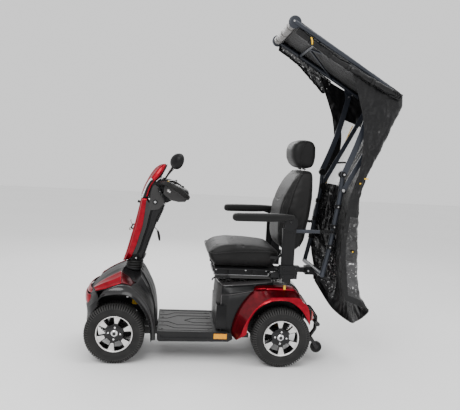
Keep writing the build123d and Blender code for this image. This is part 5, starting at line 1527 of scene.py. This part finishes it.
def canopy_base_shape():
    """Two bent posts with collars and hubs, their foot, and the struts from the armrests."""
    shape = Shape()
    path = [(1182, 230, 537), (1216, 230, 704), (1236, 230, 850), (1258, 230, 1000), (1264, 230, 1128)]
    shape.tube(path, 14, look=0, sides=24, steps=8)
    for s, z in ((1216, 704), (1233, 822), (1249, 940)):
        ring = [(14, -13), (18.5, -13), (20, -11), (20, -4), (18.4, -3), (18.4, 3), (20, 4), (20, 11),
                (18.5, 13), (14, 13)]
        shape.turned(ring, (s + 1, 230, z), (0.13, 0, 1), look=1, steps=28)
        bolt(shape, s - 2, 250, z, 5.0, 2)
    hub = [(0, -14), (19, -14), (22, -11), (22, 9), (19, 12), (15, 12.5), (15, 10), (0, 10)]
    for s, z in (LINK_PIVOT, ARM_PIVOT):
        shape.turned(hub, (s, 229, z), (0, 1, 0), look=1, steps=40)
    shape.turned([(0, 32), (6.5, 32), (7, 31), (7, 5)], (LINK_PIVOT[0], 226, LINK_PIVOT[1]), (0, 1, 0),
                 look=2, steps=20)
    shape.turned([(0, 42), (6.5, 42), (7, 41), (7, 5)], (ARM_PIVOT[0], 226, ARM_PIVOT[1]), (0, 1, 0),
                 look=2, steps=20)
    # The strut is a painted bar at the armrest end and a ribbed clamp at the post.
    shape.tube([(984, 270, 793), (1060, 268, 794), (1140, 268, 795)], 11, look=0, sides=18, steps=4)
    shape.tube([(1136, 268, 795), (1180, 267, 796), (1226, 262, 797)], 8, look=1, sides=16, steps=4)
    for k in range(6):
        shape.turned([(8, -3), (11.5, -2), (11.5, 2), (8, 3)], (1146 + 15 * k, 267.5, 795.5), (1, 0, 0),
                     look=1, steps=18)
    shape.block(978, 1000, 263, 288, 780, 806, 1)
    shape.tube([(1226, 262, 797), (1236, 250, 798), (1240, 234, 798)], 9, look=1, sides=14, steps=5)
    bolt(shape, 988, 289, 793, 6, 2)
    shape.both()
    shape.tube([(1182, -236, 537), (1182, 0, 537), (1182, 236, 537)], 14, look=0, sides=24, steps=2)
    shape.block(926, 1186, -20, 20, 507, 535, 1)
    shape.block(1130, 1205, -34, 34, 496, 544, 1)
    shape.block(892, 929, -58, 58, 513, 535, 1)
    for way in (-1, 1):
        for s in (1146, 1189):
            bolt(shape, s, 36 * way, 520, 7, 2)
    return shape


def bar_shape(low, high, width, side_from, side_to, bow):
    """A flat bar between two pivots with round ends, bowed in the middle, on each side."""
    ds, dz = high[0] - low[0], high[1] - low[1]
    length = math.hypot(ds, dz)
    along, across = (ds / length, dz / length), (-dz / length, ds / length)
    left, right = [], []
    for step in range(25):
        part = step / 24
        swell = bow * math.sin(math.pi * part)
        middle = (low[0] + ds * part + across[0] * swell, low[1] + dz * part + across[1] * swell)
        left.append((middle[0] + across[0] * width / 2, middle[1] + across[1] * width / 2))
        right.append((middle[0] - across[0] * width / 2, middle[1] - across[1] * width / 2))
    ends = []
    for centre, way in ((high, 1), (low, -1)):
        ends.append([(centre[0] + width / 2 * (across[0] * math.cos(a) * way + along[0] * math.sin(a) * way),
                      centre[1] + width / 2 * (across[1] * math.cos(a) * way + along[1] * math.sin(a) * way))
                     for a in (math.pi * k / 12 for k in range(1, 12))])
    shape = Shape()
    shape.plate(left + ends[0] + right[::-1] + ends[1], side_from, side_to, 0)
    size = width * 0.46
    for place in (low, high):
        washer = [(size * 0.3, 0), (size, 0), (size, 1.6), (size * 0.5, 2.4), (size * 0.3, 2.4)]
        shape.turned(washer, (place[0], side_to, place[1]), (0, 1, 0), look=1, steps=32)
    return shape


def canopy_arm_shape():
    """Main arms, bowed rearward, with a stepped cap over each lower pivot."""
    shape = bar_shape(ARM_PIVOT, ROOF_PIVOT, 34, 253, 260, -16)
    shape.turned([(0, 12), (9, 12), (11, 10), (11, 0)], (ARM_PIVOT[0], 260, ARM_PIVOT[1]), (0, 1, 0),
                 look=1, steps=28)
    shape.turned([(0, 15), (6, 15), (6, 0)], (ARM_PIVOT[0], 260, ARM_PIVOT[1]), (0, 1, 0), look=2, steps=20)
    return shape.both()


def canopy_link_shape():
    """Straight rear links."""
    shape = bar_shape(LINK_PIVOT, ROOF_LINK_PIN, 28, 244, 250, 0)
    shape.turned([(0, 7), (8, 6.6), (10, 4), (10, 0)], (LINK_PIVOT[0], 250, LINK_PIVOT[1]), (0, 1, 0),
                 look=2, steps=24)
    return shape.both()


def roof_frame_shape():
    """Side rails, hangers, end discs, cross bars and the diagonal braces under the roof cloth."""
    shape = Shape()
    rail = [along_roof(0.0, RAIL_SIDE), along_roof(0.35, RAIL_SIDE, 3), along_roof(0.7, RAIL_SIDE, 3),
            along_roof(1.0, RAIL_SIDE)]
    shape.tube(rail, [13, 13.5, 13, 11], look=0, sides=24, steps=8)
    shape.plate([(1380, 1684), (1440, 1650), (1428, 1616), (1413, 1609), (1398, 1616)], 264, 270, 0)
    shape.plate([(1518, 1608), (1552, 1590), (1556, 1556), (1540, 1545), (1526, 1552)], 264, 270, 0)
    for s, z, inner in ((*ROOF_PIVOT, 251), (*ROOF_LINK_PIN, 243)):
        shape.turned([(0, 0), (6, 0), (6, 28), (0, 28)], (s, inner, z), (0, 1, 0), look=2, steps=20)
    disc = [(0, 14), (10, 14), (12, 12), (30, 12.5), (34, 11), (36, 7), (36, -3), (32, -4), (0, -4)]
    shape.turned(disc, (ROOF_FRONT[0], 268, ROOF_FRONT[1]), (0, 1, 0), look=0, steps=56)
    bolt(shape, ROOF_FRONT[0] - 6, 283, ROOF_FRONT[1] + 3, 6.5, 2)
    bolt(shape, ROOF_FRONT[0] + 8, 283, ROOF_FRONT[1] - 3, 4.5, 2)
    shape.tube([along_roof(0.24, 0), along_roof(0.42, RAIL_SIDE * 0.5), along_roof(0.6, RAIL_SIDE)], 6,
               look=0, sides=14, steps=4)
    shape.both()
    for part in (0.24, 0.9):
        shape.tube([along_roof(part, -RAIL_SIDE), along_roof(part, 0), along_roof(part, RAIL_SIDE)], 9,
                   look=0, sides=18, steps=2)
        for way in (-1, 1):
            place = Vector(along_roof(part, (RAIL_SIDE - 20) * way))
            shape.turned([(9, -8), (12, -7), (12, 7), (9, 8)], place, (0, 1, 0), look=1, steps=24)
    return shape


make("canopy_base_look", canopy_base_shape(), [CANOPY_METAL, BLACK, STEEL], "seat", "canopy_base",
     sharp=36, bevel=0.8)
make("canopy_arms_look", canopy_arm_shape(), [CANOPY_METAL, BLACK, STEEL], "arms", "canopy_arms",
     sharp=36, bevel=1.2)
make("canopy_links_look", canopy_link_shape(), [CANOPY_METAL, BLACK, STEEL], "links", "canopy_links",
     sharp=36, bevel=1.2)
make("roof_frame_look", roof_frame_shape(), [CANOPY_METAL, BLACK, STEEL], "roof", "roof_frame",
     sharp=36, bevel=0.8)


# ---- canopy cloth -------------------------------------------------------------------------------
def creases(place, seed):
    """Folds of hanging, crumpled cloth at a place in millimetres, from about -1 to 1."""
    q = Vector((place.x * 0.012 + seed, place.y * 0.012, place.z * 0.0065))
    broad = noise.noise(q)
    ridge = 1 - 3 * abs(noise.noise(q * 2.4 + Vector((9, 4, 2))))
    fine = 1 - 3 * abs(noise.noise(q * 6.0 + Vector((3, 7, 5))))
    return 0.62 * broad + 0.34 * ridge + 0.16 * fine


def cloth_sheet(name, sections, across, down, look_of, swell, seed, finishes,
                stands_for=(), body=None, join=None):
    """A continuous sheet through its sections, each a line of (station, side, height), with folds in it.

    look_of says which finish a face takes from its place across and down the sheet, both 0 to 1.
    """
    lines = [even_line(section, across) for section in sections]
    columns = [even_line([line[c] for line in lines], down) for c in range(across)]
    rows = [[columns[c][r] for c in range(across)] for r in range(down)]
    moved = []
    for r, row in enumerate(rows):
        out = []
        for c, place in enumerate(row):
            along = row[min(c + 1, across - 1)] - row[max(c - 1, 0)]
            drop = rows[min(r + 1, down - 1)][c] - rows[max(r - 1, 0)][c]
            normal = along.cross(drop)
            normal = normal.normalized() if normal.length > 1e-6 else Vector((0, 0, 0))
            size = swell(r / (down - 1)) if callable(swell) else swell
            out.append(place + normal * size * creases(place, seed))
        moved.append(out)
    shape = Shape().grid(moved)
    shape.looks = [look_of(c / (across - 2), r / (down - 2)) for r in range(down - 1)
                   for c in range(across - 1)]
    obj = make(name, shape, finishes, body, stands_for, sharp=70)
    if join:
        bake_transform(obj)
    return moved


def hem(name, lines, radius, look, body=None, join=None):
    """Bound edges or zips that follow lines across a sheet."""
    shape = Shape()
    for line in lines:
        shape.tube(line, radius, sides=8, steps=1, flat=0.6)
    obj = make(name, shape, look, body, (), sharp=60)
    if join:
        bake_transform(obj)


def back_section(near, edge, corner, back, far, bulge=294):
    """A section with a flat back, from the (station, height) of its near front, edge, corners, back and far."""
    across = [(near, 291), (edge, bulge), (corner, 287), (back, 150), (back, 0), (back, -150), (corner, -287),
              (far, -291)]
    return [(station, side, height) for (station, height), side in across]


# Each section runs from the near front edge, round the back, to the far front edge.
CURTAIN_SECTIONS = [[(1306, 290, 412), (1392, 294, 378), (1456, 288, 352), (1448, 240, 300),
                     (1436, 150, 244), (1424, 60, 214), (1350, -120, 262), (1268, -288, 404)],
                    [(1296, 291, 470), (1340, 294, 474), (1392, 286, 470), (1410, 190, 400),
                     (1412, 40, 372), (1404, -120, 372), (1376, -280, 400), (1262, -291, 500)],
                    [(1284, 291, 560), (1326, 294, 562), (1376, 287, 560), (1392, 180, 540), (1394, 0, 530),
                     (1392, -180, 534), (1376, -286, 548), (1242, -291, 590)],
                    [(1270, 291, 706), (1320, 295, 706), (1372, 287, 704), (1380, 150, 700), (1382, 0, 700),
                     (1380, -150, 700), (1372, -287, 704), (1232, -291, 706)],
                    back_section((1280, 850), (1318, 850), (1360, 848), (1366, 846), (1236, 850)),
                    back_section((1302, 996), (1328, 996), (1356, 990), (1358, 988), (1268, 1004)),
                    back_section((1335, 1100), (1360, 1100), (1384, 1100), (1386, 1100), (1288, 1096)),
                    back_section((1352, 1189), (1386, 1190), (1420, 1190), (1424, 1190), (1312, 1180))]
UPPER_SECTIONS = [CURTAIN_SECTIONS[-1],
                  back_section((1356, 1290), (1410, 1290), (1462, 1286), (1468, 1286), (1350, 1290)),
                  back_section((1354, 1390), (1430, 1392), (1503, 1390), (1510, 1390), (1342, 1404)),
                  back_section((1338, 1478), (1444, 1482), (1541, 1478), (1549, 1478), (1322, 1500),
                               bulge=295),
                  [(1304, 291, 1592), (1436, 297, 1556), (1560, 288, 1524), (1567, 150, 1524),
                   (1567, 0, 1524), (1567, -150, 1524), (1560, -287, 1524), (1286, -291, 1596)],
                  [(1258, 289, 1716), (1414, 292, 1640), (1561, 288, 1584), (1565, 150, 1604),
                   (1565, 0, 1606), (1565, -150, 1606), (1561, -288, 1590), (1222, -290, 1752)]]
# Two bodies and two places for each cloth. cloth_sheet and hem only bake the sheet in place when one is given;
# nothing blends the cloth between the bodies.
SEAT_TO_ARMS = ("seat", "arms", at(1350, 0, 1010), at(1385, 0, 1180))
ARMS_TO_ROOF = ("arms", "roof", at(1400, 0, 1300), at(1500, 0, 1556))
CURTAIN_FINISHES = [CLOTH, PVC, CLOTH_WET, PVC_DARK]
PLAIN, CLEAR, WET, FILM = range(4)


def curtain_look(across, down):
    """Film on black low in both side panels, glossy cloth above it, a clear window high on the far side."""
    if down < 0.035 or across > 0.975 or across < 0.03:
        return PLAIN
    if across > 0.72 and 0.06 < down < 0.36:
        return FILM
    if across < 0.20 and 0.10 < down < 0.30:
        return FILM
    if 0.80 < across < 0.95 and down > 0.84:
        return CLEAR
    return WET if across > 0.72 or across < 0.27 and down < 0.62 else PLAIN


def upper_look(across, down):
    """The same clear window's upper part."""
    return CLEAR if 0.80 < across < 0.95 and 0.02 < down < 0.55 else PLAIN


def curtain_swell(down):
    """How far the folds stand out, in millimetres: less at the hem and the top than between them."""
    return 15 * (0.35 + 0.65 * math.sin(math.pi * min(1.0, down * 1.12))) if down < 0.9 else 15 * 0.35


def upper_swell(down):
    return 6 + 5 * math.sin(math.pi * down)


curtain_rows = cloth_sheet(
    "back_curtain", CURTAIN_SECTIONS, 132, 118, curtain_look, curtain_swell, 3.1, CURTAIN_FINISHES,
    "canopy_curtain", join=SEAT_TO_ARMS)
upper_rows = cloth_sheet("upper_curtain", UPPER_SECTIONS, 132, 74, upper_look, upper_swell, 3.1, [CLOTH, PVC],
                                join=ARMS_TO_ROOF)

# Bindings round the curtain's edges, its upright seams and the zips.
edge = [row[0] for row in curtain_rows[::3]], [row[-1] for row in curtain_rows[::3]], curtain_rows[0][::3]
seam = [row[38] for row in curtain_rows[::4]], [row[94] for row in curtain_rows[::4]]
hem("curtain_bindings", [*edge, *seam], 3.6, CLOTH, join=SEAT_TO_ARMS)
edge = [row[0] for row in upper_rows[::3]], [row[-1] for row in upper_rows[::3]]
seam = [row[40] for row in upper_rows[::3]], [row[92] for row in upper_rows[::3]]
hem("upper_bindings", [*edge, *seam], 3.4, CLOTH, join=ARMS_TO_ROOF)
zips = [[(1300, -284, 1046), (1322, -284, 1090), (1344, -285, 1140), (1362, -285, 1184)]]
hem("lower_zip", [smooth_line(line, 6) for line in zips], 3.2, YELLOW, join=SEAT_TO_ARMS)
zips = [[(1362, -285, 1184), (1384, -284, 1240), (1412, -284, 1310), (1438, -285, 1380), (1462, -285, 1440)]]
hem("upper_zip", [smooth_line(line, 6) for line in zips], 3.2, YELLOW, join=ARMS_TO_ROOF)


def yellow_tabs():
    """Small pull tabs and strap ends."""
    shape = Shape()
    for s, y, z, length in ((1372, 298, 1110, 24), (1346, 298, 1082, 8), (1330, 301, 690, 6)):
        shape.block(s, s + length, y - 2, y + 1, z - 3, z + 5, 0)
    return shape


make("yellow_tabs", yellow_tabs(), YELLOW, "seat", (), bevel=0.6)


def far_skirt():
    """Clear curtain hanging in folds from the far rail, with a black bound edge."""
    high = [(940, -286, 1934), (1010, -287, 1896), (1120, -287, 1832), (1230, -287, 1768), (1300, -287, 1724)]
    middle = [(938, -288, 1922), (1008, -294, 1876), (1098, -296, 1806), (1196, -295, 1720),
              (1276, -292, 1660)]
    low = [(936, -288, 1902), (1004, -286, 1862), (1090, -284, 1800), (1168, -285, 1722), (1250, -290, 1640)]
    return [low, middle, high]


def skirt_look(across, down):
    return 0 if down < 0.1 or across < 0.04 or down > 0.93 else 1


skirt_rows = cloth_sheet("far_skirt", far_skirt(), 90, 26, skirt_look, 9, 8.2, [CLOTH, PVC_DARK],
                                body="roof")
hem("far_skirt_binding", [skirt_rows[0][::3]], 3.6, CLOTH, body="roof")


def roof_sheet():
    """Roof cloth stretched over the rails, sagging a little between the bars."""
    sections = []
    for i in range(15):
        part = 0.02 + 0.97 * i / 14
        sag = 7 * math.sin(math.pi * min(1, max(0, (part - 0.24) / 0.66))) if part > 0.24 else 2
        line = [along_roof(part, -291, -6), along_roof(part, -284, 14), along_roof(part, -262, 22)]
        line += [along_roof(part, y, 22 - sag * (1 - (y / 262) ** 2)) for y in (-180, -90, 0, 90, 180)]
        line += [along_roof(part, 262, 20), along_roof(part, 278, 16)]
        sections.append(line)
    return sections


cloth_sheet("roof_cloth", roof_sheet(), 74, 84, lambda across, down: 0, 2.6, 5.5, [CLOTH_ROOF],
            "roof_panel", body="roof")


def rolled(name, path, inner, outer, turns, seed, crumple, look, stands_for=(), ties=()):
    """A curtain rolled up along a line: a spiral sheet, pinched where its straps hold it."""
    line = even_line(path, ROLL_STEPS)
    across = int(26 * turns)
    rows = []
    for i, centre in enumerate(line):
        part = i / (len(line) - 1)
        along = (line[min(i + 1, ROLL_STEPS - 1)] - line[max(i - 1, 0)]).normalized()
        up = (Vector((0, 0, 1)) - along * along.z).normalized() if abs(along.z) < 0.95 else Vector((1, 0, 0))
        if abs(along.y) > 0.9:
            up = Vector((0, 0, 1))
        out = along.cross(up)
        pinch = 1 - sum(0.22 * math.exp(-((part - tie) / 0.018) ** 2) for tie in ties)
        row = []
        for k in range(across + 1):
            turn = math.tau * turns * k / across
            radius = (inner + (outer - inner) * k / across) * pinch
            wave = Vector((part * 9 + seed, math.cos(turn) * 0.9, math.sin(turn) * 0.9 + k * 0.02))
            radius += crumple * (0.7 * noise.noise(wave)
                                 + 0.5 * noise.noise(wave * 2.7)) * (0.4 + 0.6 * k / across)
            row.append(centre + radius * (up * math.cos(turn) + out * math.sin(turn)))
        rows.append(row)
    shape = Shape().grid(rows)
    obj = make(name, shape, look, "roof", stands_for, sharp=70)


rolled("rolled_windscreen", [(925, -258, 1955), (925, -80, 1953), (925, 80, 1953), (925, 258, 1955)], 18,
       29, 2.4, 2.0, 2.2, CLOTH_GREY, "rolled_screens", (0.16, 0.5, 0.84))
near_roll = [along_roof(0.05, 262, -30), along_roof(0.25, 262, -34), along_roof(0.45, 268, -38),
             along_roof(0.62, 292, -36), along_roof(0.8, 306, -30), along_roof(0.93, 308, -20),
             along_roof(1.0, 304, -12)]
rolled("rolled_side_curtain", near_roll, 10, 21, 2.2, 6.0, 6.5, CLOTH, (),
       NEAR_ROLL_TIES)


def roll_straps():
    """Straps round the near roll, their yellow tabs, and the loops at its rear end."""
    shape = Shape()
    path = even_line(near_roll, ROLL_STEPS)
    straps = [int(part * (ROLL_STEPS - 1)) for part in NEAR_ROLL_TIES]
    for i in straps:
        place = path[i]
        along = (path[i + 1] - place).normalized()
        shape.turned([(19, -8), (21.5, -8), (22, 0), (21.5, 8), (19, 8)], place, along, look=0, steps=28)
    place = path[straps[0]]
    shape.tube([place + Vector((-4, 22, 16)), place + Vector((2, 25, -2)), place + Vector((4, 22, -22))],
               4.2, look=1, sides=8, steps=5, flat=0.4)
    for k in range(3):
        start = path[88 + k * 2]
        shape.tube([start + Vector((-18, 14, 12)), start + Vector((0, 22, 14)),
                    start + Vector((14, 20, -8)), start + Vector((0, 18, -22)),
                    start + Vector((-20, 12, -12))], 3.2, look=0, sides=8, steps=6)
    return shape


make("roll_straps", roll_straps(), [CLOTH, YELLOW], "roof", (), sharp=50)


# ---- kept CAD nodes -----------------------------------------------------------------------------
KEPT = ((FRAME,
         ("chassis_frame", "knuckle_left", "knuckle_right", "steering_stem", "tiller_tube", "rear_drive",
          "swivel_base")), (STEEL, ("tie_rod",)), (BLACK_GLOSS, ("rear_bumper",)),
        (BLACK, ("batteries", "swivel_lever", "slide_lever", "recline_lever")), (YELLOW, ("rear_springs",)))
for look, names in KEPT:
    for name in names:
        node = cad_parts[name]
        if not node.material_slots:
            node.data.materials.append(look)
        for material_slot in node.material_slots:
            material_slot.material = look


# ---- floor, lights, camera ----------------------------------------------------------------------
def floor_and_lights():
    mesh = bpy.data.meshes.new("studio_floor")
    reach = 14.0
    mesh.from_pydata([(-reach, -reach, 0), (reach, -reach, 0), (reach, reach, 0), (-reach, reach, 0)], [],
                     [(0, 1, 2, 3)])
    mesh.materials.append(finish("studio_floor", (0.88, 0.88, 0.88), (0.90, 0.90, 0.90), 0.7, grain=0.02,
                                 grain_size=40, blotch=1.0))
    floor = bpy.data.objects.new("studio_floor", mesh)
    bpy.context.scene.collection.objects.link(floor)

    world = bpy.data.worlds.new("studio")
    world.use_nodes = True
    sky = world.node_tree.nodes["Background"]
    sky.inputs["Color"].default_value = (1.0, 1.0, 1.0, 1.0)
    sky.inputs["Strength"].default_value = 1.1
    bpy.context.scene.world = world

    lights = (("key", (1.6, 3.2, 3.4), (0.0, 0.0, 0.6), 2.4, 105),
              ("over", (-0.6, 0.4, 4.2), (0, 0, 0.4), 3.0, 70),
              ("side", (-3.4, 2.2, 1.8), (0.0, 0.0, 0.8), 2.4, 14),
              ("back", (0.4, -3.4, 2.6), (0, 0, 0.8), 2.2, 40))
    for name, place, aim, size, power in lights:
        lamp = bpy.data.lights.new(name, "AREA")
        lamp.shape, lamp.size, lamp.energy = "DISK", size, power
        obj = bpy.data.objects.new(name, lamp)
        obj.location = place
        obj.rotation_euler = (Vector(aim) - Vector(place)).to_track_quat("-Z", "Y").to_euler()
        bpy.context.scene.collection.objects.link(obj)


def photo_camera():
    """The camera stands off the rider's left side, a little behind square and looking slightly down."""
    yaw, pitch, roll = math.radians(5.687), math.radians(4.843), math.radians(2.997)
    level = Vector((-math.sin(yaw), -math.cos(yaw), 0))
    right = Vector((-math.cos(yaw), math.sin(yaw), 0))
    up = Vector((0, 0, 1))
    ahead = math.cos(pitch) * level - math.sin(pitch) * up
    top = math.sin(pitch) * level + math.cos(pitch) * up
    turned_right = math.cos(roll) * right + math.sin(roll) * top
    turned_top = math.cos(roll) * top - math.sin(roll) * right
    camera = bpy.data.objects.new("camera", bpy.data.cameras.new("camera"))
    camera.data.lens = 45.07
    rotation = Matrix((turned_right, turned_top, -ahead)).transposed().to_4x4()
    camera.matrix_world = Matrix.Translation((AXLE_X - 0.2977, 3.4787, 1.1997)) @ rotation
    bpy.context.scene.collection.objects.link(camera)
    bpy.context.scene.camera = camera


floor_and_lights()
photo_camera()
